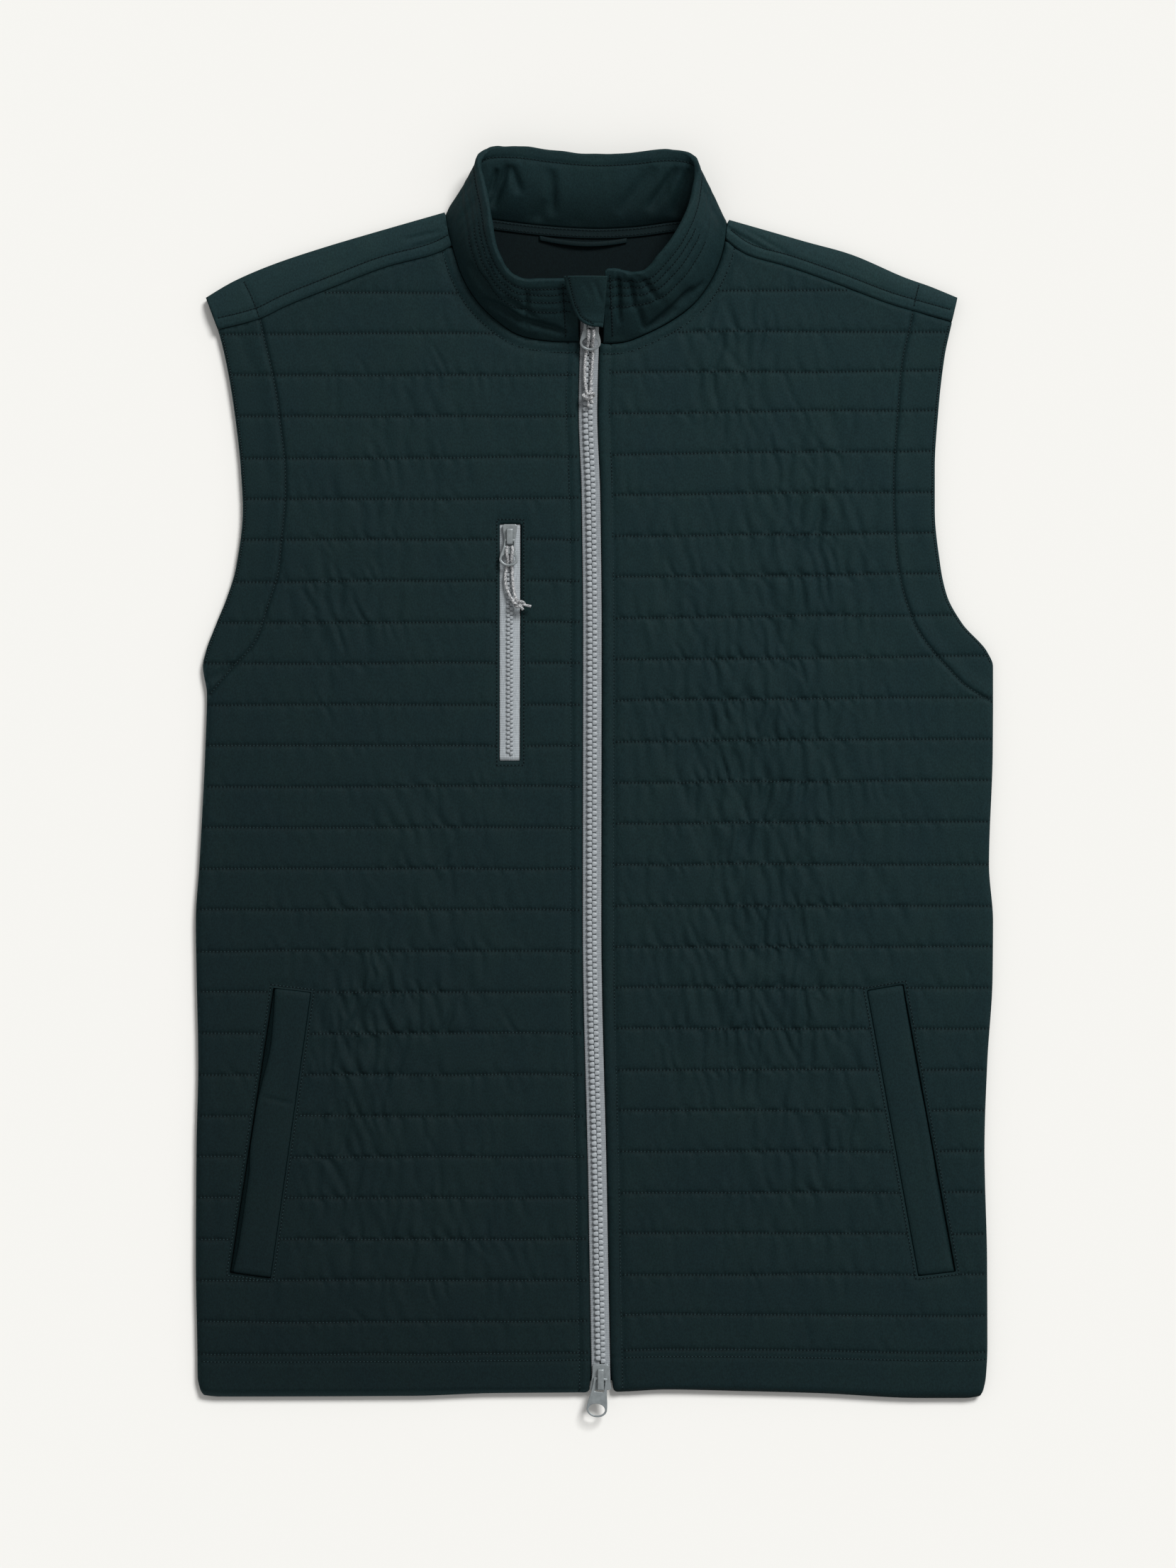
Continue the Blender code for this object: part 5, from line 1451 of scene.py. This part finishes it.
    def painted_stitch_shade(self, points):
        """Painted shade at points (x, y): at the needle holes as far as thread draws the cloth in, only where
        a row of stitches runs, and along the armhole's line.
        """
        x, y = points[:, 0], points[:, 1]
        clear = (nearest(points, self.neck) > NECK_TOPSTITCH) & (nearest(points, self.seam) > 2.0)
        clear &= self.sign * (x - self.inner_x(y)) > ROW_START[self.side]
        for window in self.windows:
            clear &= distance_to(points, closed(window)) > WELT_FRAME
        rows = np.where(clear, self.tick(x, self.level(x, y)), 0.0)
        # Painted shade along the armhole's line.
        return np.maximum(rows, ARMHOLE_SHADE * bell(distance_to(points, self.armhole), 1.0))

    def turn_in(self, points, faces, ring, towards):
        """Adds a turned edge: the cloth runs down from the ring and in under the panel."""
        edge = points[ring]
        run = np.roll(edge, -1, axis=0)[:, :2] - np.roll(edge, 1, axis=0)[:, :2]
        area = np.sum(edge[:, 0] * np.roll(edge[:, 1], -1) - edge[:, 1] * np.roll(edge[:, 0], -1))
        inward = unit(np.column_stack((-run[:, 1], run[:, 0])) * np.sign(area) * -towards)
        before = ring
        for share, reach in TURNED_EDGE:
            height = FRONT_FLOOR + share * (edge[:, 2] - FRONT_FLOOR)
            after = np.arange(len(points), len(points) + len(ring))
            points = np.vstack((points, np.column_stack((edge[:, :2] + inward * reach, height))))
            faces += list(zip(before, np.roll(before, -1), np.roll(after, -1), after))
            before = after
        return points, faces

    def sew(self, stitching):
        """Quilting rows, the hem's two rows, and the lines beside the zip, the neck and the armhole."""
        across = np.arange(0.0, PANEL_REACH, STITCH_PITCH)
        for level in [*self.rows[1:-1], self.hem_second]:
            x = self.inner_x(level) + self.sign * across
            points = np.column_stack((x, level + self.wander(x, level)))
            clear = inside(points, self.outline)
            clear &= self.sign * (x - self.inner_x(level)) > ROW_START[self.side]
            clear &= distance_to(points, self.neck) > NECK_TOPSTITCH + 1.0
            clear &= nearest(points, self.outline) > 1.2
            for window in self.windows:
                clear &= ~((distance_to(points, closed(window)) < WELT_FRAME) | inside(points, window))
            for part in np.split(np.arange(len(x)), np.flatnonzero(np.diff(clear.astype(int))) + 1):
                if clear[part[0]] and len(part) > 2:
                    stitching.sew(self.place(points[part]), np.broadcast_to(UPRIGHT, (len(part), 3)))
        y = np.linspace(hem_line(self.inner_x(HEM_LEVEL)) + 2.0, self.neck_y - 1.0, 500)
        stitching.run(self.place(np.column_stack((zip_middle(y) + self.sign * ZIP_TOPSTITCH, y))))
        stitching.run(self.place(self.parallel(self.neck, NECK_TOPSTITCH)))
        armhole = spline_rows(ARMHOLE_LINE[self.side], LINE_BETWEEN)
        stitching.run(self.place(armhole[inside(armhole, self.outline)]))
        y = np.linspace(self.yoke_y - 3.0, ARMHOLE_FOOT, 300)
        x = side_edge[self.side](y) - self.sign * ARMHOLE_EDGE_STITCH
        stitching.run(self.place(np.column_stack((x, y))), pitch=ARMHOLE_EDGE_PITCH)
        for corners in self.frames:
            stitching.run(self.place(resample(closed(corners), 0.8)))

    def parallel(self, line, distance):
        run = np.gradient(line, axis=0)
        moved = line + unit(np.column_stack((run[:, 1], -run[:, 0])) * self.sign) * distance
        return moved[inside(moved, self.outline)]


def chest_window(half, low, high):
    return np.array(((CHEST_X - half, low), (CHEST_X + half - 0.4, low), (CHEST_X + half + 0.6, high),
                     (CHEST_X - half + 0.4, high)))


def welt_window(side, margin):
    """Corners of the hand pocket's window: the welt's outline, the slit beside it and a margin all round."""
    top_outer, top_inner, bottom_inner, bottom_outer = np.array(WELT_CORNERS[side])
    down = unit(bottom_inner - top_inner) * margin
    top_run, bottom_run = unit(top_outer - top_inner), unit(bottom_outer - bottom_inner)
    slit = WELT_SLIT[side] + margin
    return np.array((top_outer + top_run * slit - down, top_inner - top_run * margin - down,
                     bottom_inner - bottom_run * margin + down, bottom_outer + bottom_run * slit + down))


def build_welt(side, finish):
    """The welt in its window: a soft folded band whose free edge wanders over the slit."""
    top_outer, top_inner, bottom_inner, bottom_outer = np.array(WELT_CORNERS[side])
    reach = curve_through(WELT_EDGE[side])
    parts = crowded(0.12, 0.88, 5, 12, 5)
    loops = []
    for share in np.linspace(0.0, 1.0, 130):
        outer = mix(top_outer, bottom_outer, share)
        inner = mix(top_inner, bottom_inner, share)
        across = unit(outer - inner)
        ledge = outer + across * (WELT_SLIT[side] - SEAM_GAP)
        outer = outer + across * reach(share)
        flat = outer + (inner - outer) * parts[:, None]
        along = np.full(len(parts), share * WELT_CELLS[0])
        wave = WELT_WAVE * lattice_noise(along, parts * WELT_CELLS[1], WELT_SEED + SIDES[side])
        ends = mix(0.7, 1.0, smooth(min(share, 1 - share) / 0.015))
        wall = welt_wall(parts) * ends + wave - sink(flat, WELT_CREASES[side])
        upper = np.column_stack((flat, FRONT_FLOOR + wall))
        lower = [(*inner, FRONT_FLOOR), (*ledge, FRONT_FLOOR)]
        slit = [(*ledge, FRONT_FLOOR + WELT_LEDGE), (*outer, FRONT_FLOOR + WELT_LEDGE)]
        loops.append(np.vstack((upper, lower, slit)))
    loft(f"welt_{side}_cloth", loops, finish.shell, "vest", "shell", "welt_" + side)


def build_yoke(side, collar, finish, stitching):
    """Plain cloth over the shoulder with a row of stitches above its seam."""
    sign = SIDES[side]
    seam = resample(spline_rows(YOKE_SEAM[side], LINE_BETWEEN), 1.6)
    fold = resample(spline_rows(SHOULDER_FOLD[side], LINE_BETWEEN), 0.5)
    if side == "right":
        neck = collar.neck_line(COLLAR_RIGHT_FOLD - 2, COLLAR_RIGHT_FOLD)
    else:
        neck = collar.neck_line(COLLAR_LEFT_FOLD, COLLAR_LEFT_FOLD + 2)[::-1]
    parts = crowded(0.1, 0.85, 5, 20, 6)
    fold_run = lengths_along(fold) / lengths_along(fold)[-1]
    direct = np.linalg.norm(seam - seam[0], axis=1)
    share = np.clip(direct / direct[-1], 0, 1)
    ends = np.stack([np.interp(share, fold_run, fold[:, k]) for k in range(2)], 1)
    flat = seam[:, None] + (ends - seam)[:, None] * parts[None, :, None]
    limit = np.abs(np.interp(flat[..., 1], neck[:, 1], neck[:, 0])) * (flat[..., 1] > neck[0, 1] - 6)
    flat[..., 0] = sign * np.maximum(sign * flat[..., 0], limit)
    flat[..., 1] += YOKE_GAP * (1 - parts)[None, :]
    places = flat.reshape(-1, 2)
    wide = np.linalg.norm(ends - seam, axis=1)[:, None] * parts[None, :]
    armhole = distance_to(places, spline_rows(ARMHOLE_LINE[side], 3)).reshape(wide.shape)
    loose = smooth((wide - YOKE_TOPSTITCH - 1.0) / 4.0) * smooth((1 - parts) / 0.15)[None, :]
    wall = yoke_wall(parts)[None, :] - sink(places, YOKE_CREASES[side]).reshape(wide.shape)
    for offset, (deep, half) in ((wide - YOKE_TOPSTITCH, YOKE_GROOVE), (armhole, YOKE_ARMHOLE_GROOVE)):
        wall = wall - deep * bell(offset, half)
    wall = wall + YOKE_WAVE * loose * lattice_noise(*np.moveaxis(flat / YOKE_CELL, 2, 0), YOKE_SEED)
    upper = np.concatenate((flat, (FRONT_FLOOR + np.maximum(wall, 0.5))[..., None]), axis=2)
    lower = upper[:, [-1, 0]].copy()
    lower[..., 2] = FRONT_FLOOR
    loops = np.concatenate((upper, lower), axis=1)
    loft(f"yoke_{side}_cloth", loops, finish.yoke, "vest", "yoke", "yoke_" + side)
    at = np.array([np.interp(YOKE_TOPSTITCH, row, np.arange(len(parts))) for row in wide])
    low, rows = np.floor(at).astype(int), np.arange(len(seam))
    stitching.run(mix(upper[rows, low], upper[rows, low + 1], (at - low)[:, None])[2:-3])
    line = spline_rows(ARMHOLE_LINE[side], LINE_BETWEEN)
    line = line[line[:, 1] > np.interp(np.abs(line[:, 0]), np.abs(seam[::-1, 0]), seam[::-1, 1]) + 1.0]
    gap = np.linalg.norm(places[None] - line[:, None], axis=2).argmin(axis=1)
    stitching.run(np.column_stack((line, upper.reshape(-1, 3)[gap, 2])))


def back_outline(collar):
    """Outline of the back, from the wearer's right hem corner up, over the neck and down the left."""
    y = np.linspace(SIDE_FOOT, SIDE_ROWS[0][0], 300)
    right, left = (np.stack((side_edge[side](y), y), 1) for side in SIDES)
    x = np.linspace(*BACK_HEM_REACH, 200)
    hidden = BACK_HEM_RISE + BACK_ZIP_RISE * bell(x - zip_middle(HEM_LEVEL), BACK_ZIP_REACH)
    hem = np.stack((x, hem_line(x) + hidden), 1)
    neck = collar.neck_line(COLLAR_RIGHT_FOLD, COLLAR_LEFT_FOLD, BACK_NECK_GAP)
    folds = [spline_rows(SHOULDER_FOLD[side], EDGE_BETWEEN) for side in SIDES]
    loop = np.vstack((right, folds[0][1:-3], neck, folds[1][::-1][3:-1], left[::-1], hem, right[:1]))
    return resample(loop, BACK_EDGE_STEP)[:-1]


def build_back(collar, finish):
    """The back: a flat underside, rounded edges, and faint waves on the inside that shows in the neck."""
    outline = back_outline(collar)
    count = len(outline)
    run = np.roll(outline, -1, axis=0) - np.roll(outline, 1, axis=0)
    inward = unit(np.column_stack((run[:, 1], -run[:, 0])))
    rings = [outline + inward * reach for reach, _ in BACK_RINGS]
    points = [np.column_stack((ring, np.full(count, z))) for ring, (_, z) in zip(rings, BACK_RINGS)]
    faces = []
    for start in range(0, (len(rings) - 1) * count, count):
        a = np.arange(start, start + count)
        faces += list(zip(a, a + count, np.roll(a, -1) + count, np.roll(a, -1)))
    steps = [np.arange(low, high, BACK_STEP) for low, high in zip(outline.min(0), outline.max(0))]
    grid = np.stack(np.meshgrid(*steps), -1).reshape(-1, 2)
    grid = grid[inside(grid, outline)]
    grid = grid[nearest(grid, outline) > BACK_CLEAR]
    total = len(rings) * count
    for number, sign, deep in ((0, -1, 0.0), (len(rings) - 1, 1, BACK_WAVE)):
        flat, skin, _ = fill([rings[number]], grid, rings[number])
        flat = flat[count:]
        wave = deep * (lattice_noise(*(flat / BACK_CELL).T, BACK_SEED) - 1)
        points.append(np.column_stack((flat, BACK_RINGS[number][1] + wave)))
        shift = np.concatenate((np.arange(count) + number * count, total + np.arange(len(flat))))
        total += len(flat)
        faces += [tuple(shift[f][::sign]) for f in skin]
    finishes = [finish.lining, finish.shell]
    back = piece("back_cloth", np.vstack(points), faces, finishes, "vest", "lining", "back")
    for face in back.data.polygons:
        face.material_index = 0 if face.normal.z > LINING_TURN else 1


def build_neck_inside(collar, finish, stitching):
    """Tape over the back neck seam, and the hanger loop under it."""
    edge = collar.neck_line(COLLAR_RIGHT_FOLD + 2, COLLAR_LEFT_FOLD - 2)
    x = np.linspace(*NECK_TAPE_REACH, 90)
    near = np.interp(x, edge[:, 0], edge[:, 1]) - NECK_TAPE_BELOW_EDGE
    loops = strip(x, near, FRONT_FLOOR, [(-d, up * NECK_TAPE_WALL) for d, up in NECK_TAPE_SECTION], 1)
    loft("neck_tape_cloth", loops, finish.neck_tape, "vest", "lining", "neck_tape")
    for down, up in NECK_TAPE_STITCHES:
        stitching.run(np.column_stack((x, near - down, np.full(len(x), FRONT_FLOOR + up * NECK_TAPE_WALL))))
    share = np.linspace(0.0, 1.0, 70)
    x, bow = mix(*LOOP_REACH, share), np.sin(math.pi * share)
    near = np.interp(x, edge[:, 0], edge[:, 1]) - NECK_TAPE_BELOW_EDGE - NECK_TAPE_WIDTH - SEAM_GAP
    section = [(-d, up * LOOP_WALL) for d, up in LOOP_SECTION]
    loops = strip(x, near - LOOP_DROP * bow, FRONT_FLOOR + LOOP_RISE * bow, section, 1)
    loft("hanger_loop_cloth", loops, finish.neck_tape, "vest", "shell", "hanger_loop")


def build_garage(finish, stitching):
    """Flap over the top of the zip: arched over the slider, hemmed along its free edge, and creased."""
    rows = spline_rows(GARAGE_ROWS, 10)
    shares = np.linspace(0.0, 1.0, 26)
    y = rows[:, 0][:, None] * np.ones(len(shares))
    x = mix(rows[:, 1][:, None], rows[:, 2][:, None] + GARAGE_TUCK, shares[None, :])
    across = np.clip((x - GARAGE_RIGHT_ROOT) / (GARAGE_LEFT_ROOT - GARAGE_RIGHT_ROOT), 0, 1)
    lip = GARAGE_LIP * (1 - smooth((y - GARAGE_ROWS[0][0]) / GARAGE_LIP_REACH))
    under = np.stack((x, y, zip_level(y) + GARAGE_LIFT + lip + GARAGE_ARCH * np.sin(math.pi * across)), 2)
    flat = under[..., :2].reshape(-1, 2)
    free = np.vstack((rows[::-1, [1, 0]], rows[:1, [2, 0]]))
    from_edge = distance_to(flat, free).reshape(x.shape)
    least, reach = GARAGE_EDGE
    deep, half = GARAGE_GROOVE
    wall = GARAGE_WALL * mix(least, 1.0, np.sqrt(1 - (1 - np.clip(from_edge / reach, 0, 1)) ** 2))
    wall = wall - deep * bell(from_edge - GARAGE_HEM, half) - sink(flat, GARAGE_CREASES).reshape(x.shape)
    lean = np.array((0.0, -RISE_SLOPE * 0.5, 1.0))
    over = under + lean * np.maximum(wall, LEAST_WALL)[..., None]
    loops = np.concatenate((under, over[:, ::-1]), axis=1)
    loft("zip_garage_cloth", loops, finish.yoke, "vest", "yoke", "zip_garage")
    off_hem = np.abs(from_edge - GARAGE_HEM) + 10 * (shares > 0.6)
    line = [over[i, np.argmin(off_hem[i])] for i in range(len(rows) - 1, 5, -1)]
    stitching.run(line, GARAGE_UP, GARAGE_PITCH)


def build_main_zip(finish):
    """Two woven tapes and a chain of moulded teeth that interlock along the middle."""
    bend = RISE_START - 4 * RISE_SOFT
    y = np.concatenate((np.arange(TAPE_BOTTOM, bend, 4.0), np.linspace(bend, TAPE_TOP, 40)))
    for side, sign in SIDES.items():
        section = [(sign * off, up * TAPE_WALL) for off, up in TAPE_SECTION]
        loops = strip(zip_middle(y), y, zip_level(y), section, 0)
        loft(f"zip_tape_{side}_weave", loops, finish.tape, "vest", "zip_tape", "zip_tape_" + side)
    first, last = BOTTOM_SLIDER_TOP + TOOTH_ENDS[0], TOP_SLIDER_LOW - CHAIN_BELOW_SLIDER - TOOTH_ENDS[1]
    at = np.arange(first, last, TOOTH_PITCH / 2)
    middle = np.column_stack((zip_middle(at), at, zip_level(at) + TAPE_WALL + SEAM_GAP + TOOTH_LIFT))
    slope = zip_level(at + 0.5) - zip_level(at - 0.5)
    build_teeth("zip_chain_teeth", TOOTH_HALF, TOOTH_OFF_MIDDLE, middle, slope, finish, "zip_chain")


def build_teeth(name, halves, off_middle, middle, slope, finish, node):
    """A chain of teeth along the middle of a zip, on either side of it in turn."""
    shape, skin = tooth(halves)
    parts = []
    for k, (spot, steep) in enumerate(zip(middle, slope)):
        sign = -1 if k % 2 else 1
        turn = np.array(Matrix.Rotation(math.atan(steep), 3, "X"))
        points = (shape * (sign, 1, 1)) @ turn.T + spot + (sign * off_middle, 0, 0)
        parts.append((points, [face[::sign] for face in skin]))
    piece(name, *join(parts), finish.teeth, "vest", "zip_plastic", node)


def soften(value, power):
    return np.sign(value) * np.abs(value) ** power


def tooth(halves):
    """One moulded tooth: a rounded block with a wider head towards the zip's middle."""
    polar = np.linspace(TOOTH_TIP, math.pi - TOOTH_TIP, TOOTH_RINGS)
    turn = math.tau * np.arange(TOOTH_AROUND) / TOOTH_AROUND
    wide_power, long_power = TOOTH_BLOCK
    z = -soften(np.cos(polar), long_power)[:, None] * np.ones(TOOTH_AROUND)
    wide = soften(np.sin(polar), wide_power)[:, None]
    x = wide * soften(np.cos(turn), wide_power)[None, :]
    y = wide * soften(np.sin(turn), long_power)[None, :] * (1.0 - TOOTH_HEAD * x)
    return (np.stack((x, y, z), 2) * halves).reshape(-1, 3), skin_faces(TOOTH_RINGS, TOOTH_AROUND)


def plate(name, outlines, wall, bevel, place, finish, body, node=None):
    """A flat plate with round edges from an outline and its holes, as (x, y) points in millimetres."""
    curve = bpy.data.curves.new(name, "CURVE")
    curve.dimensions = "2D"
    curve.fill_mode = "BOTH"
    curve.extrude = (0.5 * wall - bevel) * MM
    curve.bevel_depth = bevel * MM
    curve.bevel_resolution = 3
    curve.offset = -bevel * MM
    for outline in outlines:
        spline = curve.splines.new("POLY")
        spline.points.add(len(outline) - 1)
        spline.use_cyclic_u = True
        for target, (x, y) in zip(spline.points, outline):
            target.co = (x * MM, y * MM, 0.0, 1.0)
    source = linked(name + "_source", curve)
    mesh = bpy.data.meshes.new_from_object(source.evaluated_get(bpy.context.evaluated_depsgraph_get()))
    bpy.data.objects.remove(source)
    mesh.transform(place)
    mesh.shade_smooth()
    mesh.set_sharp_from_angle(angle=SHARP_FROM)
    dress(linked(name, mesh), finish.metal, body, node)


def placed(origin, turn=(0.0, 0.0, 0.0)):
    return Matrix.Translation(Vector(origin) * MM) @ Euler(turn).to_matrix().to_4x4()


def round_corners(outline, radius, steps=4):
    """A polygon with its corners cut to short arcs."""
    outline = [Vector(p) for p in outline]
    made = []
    for before, at, after in zip(outline[-1:] + outline[:-1], outline, outline[1:] + outline[:1]):
        back, ahead = before - at, after - at
        reach = min(radius, 0.45 * back.length, 0.45 * ahead.length)
        start, end = at + back.normalized() * reach, at + ahead.normalized() * reach
        for k in range(steps + 1):
            t = k / steps
            made.append(tuple((1 - t) ** 2 * start + 2 * t * (1 - t) * at + t * t * end))
    return made


def build_slider(name, origin, tilt, rows, bridge, finish, node):
    """A slider: a flared body, and a bridge over it whose window holds the pull's cross bar."""
    outline = [(half, y) for y, half in rows] + [(-half, y) for y, half in reversed(rows)]
    place = placed(origin, (tilt, 0, 0))
    lifted = place @ Matrix.Translation((0, 0, 0.5 * SLIDER_WALL * MM))
    outline = round_corners(outline, SLIDER_ROUND)
    plate(name, [outline], SLIDER_WALL, SLIDER_BEVEL, lifted, finish, "vest", node)
    start, end = bridge
    foot, top = SLIDER_WALL - BRIDGE_FOOT, SLIDER_WALL + BRIDGE_RISE
    arch = [(start, foot), (start, top), (end, top), (end, foot)]
    near, far = start + BRIDGE_LEG, end - BRIDGE_LEG
    low, high = SLIDER_WALL + BRIDGE_SILL, top - BRIDGE_WALL
    gap = [(near, low), (near, high), (far, high), (far, low)]
    upright = Matrix(((0, 0, 1, 0), (1, 0, 0, 0), (0, 1, 0, 0), (0, 0, 0, 1)))
    outlines = [round_corners(part, radius) for part, radius in zip((arch, gap), BRIDGE_ROUND)]
    plate(name + "_bridge", outlines, 2 * BRIDGE_HALF, BRIDGE_BEVEL, place @ upright, finish, "vest")


def pull_outline(neck_half, ring_half, ring_at, tip_at):
    """Outline of a pull tab, from its cross bar at y = 0 down to the round end of its ring."""
    along = np.linspace(-BAR_HALF, ring_at, 16)[:-1]
    half = mix(neck_half, ring_half, smooth(along / ring_at) ** PULL_FLARE)
    turn = np.linspace(0.0, math.pi, 33)
    flank = list(zip(half, -along))
    end = list(zip(ring_half * np.cos(turn), -ring_at - (tip_at - ring_at) * np.sin(turn)))
    return flank + end + [(-x, y) for x, y in reversed(flank)]


def build_pull(name, pivot, turns, shape, hole, fork, finish, node):
    """A pull tab with a ring at its end and a fork round the slider's bridge, on the body of its own name."""
    turn = math.tau * np.arange(40) / 40
    ring = [(hole[1] * math.cos(a), -hole[0] + hole[2] * math.sin(a)) for a in turn]
    half = BRIDGE_HALF + fork[1]
    corners = [(-half, -fork[0]), (half, -fork[0]), (half, -BAR_HALF), (-half, -BAR_HALF)]
    slot = round_corners(corners, PULL_SLOT_ROUND)
    outline = round_corners(pull_outline(*shape), PULL_ROUND, 1)
    plate(name, [outline, ring, slot], PULL_WALL, PULL_BEVEL, placed(pivot, turns), finish, name, node)


def pivot_of(origin, tilt, along_slider):
    """Point on a pull's hinge axis, from its slider's origin and tilt."""
    local = Vector((0, along_slider, SLIDER_WALL + PIVOT_ABOVE_BODY))
    return Vector(origin) + Euler((tilt, 0, 0)).to_matrix() @ local


def build_zip_hardware(finish):
    """The three sliders, each with its pull tab."""
    above, low = TAPE_WALL + SEAM_GAP, BOTTOM_SLIDER_TOP
    steep = math.atan(RISE_SLOPE)
    places = {
        "bottom": ((zip_middle(low), low, zip_level(low) + above), 0.0),
        "chest": ((CHEST_X, CHEST_SLIDER_LOW, CHEST_FLOOR + above), 0.0),
        "top": ((TOP_SLIDER_X, TOP_SLIDER_LOW, zip_level(TOP_SLIDER_LOW) + above + SEAM_GAP), steep),
    }
    for name, (origin, tilt) in places.items():
        rows, bridge, hinge = SLIDERS[name]
        droop, lean, shape, hole, fork = PULLS[name]
        slider_node, pull_node = ZIP_NODES[name]
        build_slider(name + "_slider", origin, tilt, rows, bridge, finish, slider_node)
        turns = (math.radians(droop), 0, math.radians(lean))
        build_pull(name + "_pull", pivot_of(origin, tilt, hinge), turns, shape, hole, fork, finish, pull_node)


def build_chest_zip(finish):
    """The chest pocket's tape in its window, with two rows of fine coil."""
    half = CHEST_HALF - SEAM_GAP
    y = np.linspace(CHEST_BOTTOM + SEAM_GAP, CHEST_TOP - SEAM_GAP, 60)
    edge = [(half, 0.0), (half, 0.8), (half - 0.4, 0.95), (2.6, 0.9), (2.0, 1.0)]
    loops = strip(CHEST_X, y, CHEST_FLOOR, [(-off, up) for off, up in edge] + edge[::-1], 0)
    loft("chest_tape_weave", loops, finish.pale_tape, "vest", "zip_tape", "chest_zip_tape")
    first, last = CHEST_BOTTOM + CHEST_STOP + COIL_ENDS[0], CHEST_SLIDER_LOW - SEAM_GAP - COIL_ENDS[1]
    at = np.arange(first, last, CHEST_COIL_PITCH / 2)
    low = CHEST_FLOOR + TAPE_WALL + SEAM_GAP + COIL_LIFT
    middle = np.column_stack(np.broadcast_arrays(CHEST_X, at, low))
    level = np.zeros(len(at))
    build_teeth("chest_coil", COIL_HALF, COIL_OFF_MIDDLE, middle, level, finish, "chest_zip_chain")


def build_cords(finish):
    """Twisted cord strands and their knots, which move with their pulls."""
    t = np.linspace(0.0, math.tau, 130)
    bend = np.stack((np.sin(t) + 2 * np.sin(2 * t), np.cos(t) - 2 * np.cos(2 * t), -np.sin(3 * t)), 1)
    for name, (centre, halves, turn, tips) in KNOTS.items():
        body = name.split("_")[1] + "_pull"
        spin = np.array(Matrix.Rotation(turn, 3, "Z"))
        reach = (np.array(halves) - CORD_RADIUS) / KNOT_BEND_REACH
        tubes = [tube((bend * reach) @ spin.T + centre, CORD_RADIUS, KNOT_AROUND, KNOT_TWIST)]
        for tip in tips:
            line = np.array(centre) + np.array(tip) @ spin.T * np.linspace(0.15, 1.0, 24)[:, None]
            tubes.append(tube(line, KNOT_TIP_RADIUS, KNOT_AROUND, KNOT_TWIST))
        mesh = join([(rings.reshape(-1, 3), skin_faces(*rings.shape[:2])) for rings in tubes])
        piece(name + "_yarn", *mesh, finish.cord, body, "cord", name)
    for name, route in CORD_ROUTES.items():
        body = name.split("_")[1] + "_pull"
        line = resample(spline_rows(route, 10), 0.3)
        cord = loft(name + "_yarn", tube(line, CORD_RADIUS, 14, CORD_TWIST), finish.cord, body, "cord", name)


def make_stage():
    """Pale floor, soft light from overhead and from beyond the collar, and a camera straight above."""
    scene = bpy.context.scene
    mesh = bpy.data.meshes.new("floor")
    signs = ((-1, -1), (1, -1), (1, 1), (-1, 1))
    corners = [(x * FLOOR_REACH, y * FLOOR_REACH, FLOOR_LEVEL) for x, y in signs]
    mesh.from_pydata(corners, [], [(0, 1, 2, 3)])
    paper = Surface("floor_paper", {"Base Color": (*linear(*FLOOR_COLOUR), 1), "Roughness": 1.0,
                                    "Specular IOR Level": 0.0})
    mesh.materials.append(paper.material)
    linked("floor", mesh)
    world = bpy.data.worlds.new("soft_sky")
    world.use_nodes = True
    sky = world.node_tree.nodes["Background"].inputs
    sky["Color"].default_value = (1.0, 1.0, 1.0, 1.0)
    sky["Strength"].default_value = SKY_STRENGTH
    scene.world = world
    light = bpy.data.lights.new("key", "SUN")
    light.energy = KEY_STRENGTH
    light.angle = math.radians(KEY_SPREAD)
    lamp = linked("key", light)
    lamp.location = KEY_FROM
    lamp.rotation_euler = (-Vector(KEY_FROM)).to_track_quat("-Z", "Y").to_euler()
    camera = linked("camera", bpy.data.cameras.new("camera"))
    camera.data.sensor_width = SENSOR
    camera.data.lens = SENSOR * CAMERA_HEIGHT / FRAME_HEIGHT
    camera.data.clip_end = CAMERA_FAR
    camera.location = Vector((*FRAME_MIDDLE, CAMERA_HEIGHT)) * MM
    scene.camera = camera
    scene.view_settings.view_transform = "Standard"


def main():
    make_stage()
    finish = Finish()
    build_cords(finish)
    collar = Collar()
    stitching = {side: Stitching("stitching_" + side, finish.thread, finish.hole) for side in SIDES}
    stitching["trim"] = Stitching("stitching_trim", finish.dim_thread, finish.hole)
    collar.build(finish)
    collar.sew(stitching["trim"])
    build_back(collar, finish)
    for side in SIDES:
        front = Front(side, collar)
        front.build(finish)
        front.sew(stitching[side])
        build_yoke(side, collar, finish, stitching["trim"])
        build_welt(side, finish)
    build_neck_inside(collar, finish, stitching["trim"])
    build_garage(finish, stitching["trim"])
    build_main_zip(finish)
    build_chest_zip(finish)
    build_zip_hardware(finish)
    for rows in stitching.values():
        rows.build("vest")


main()
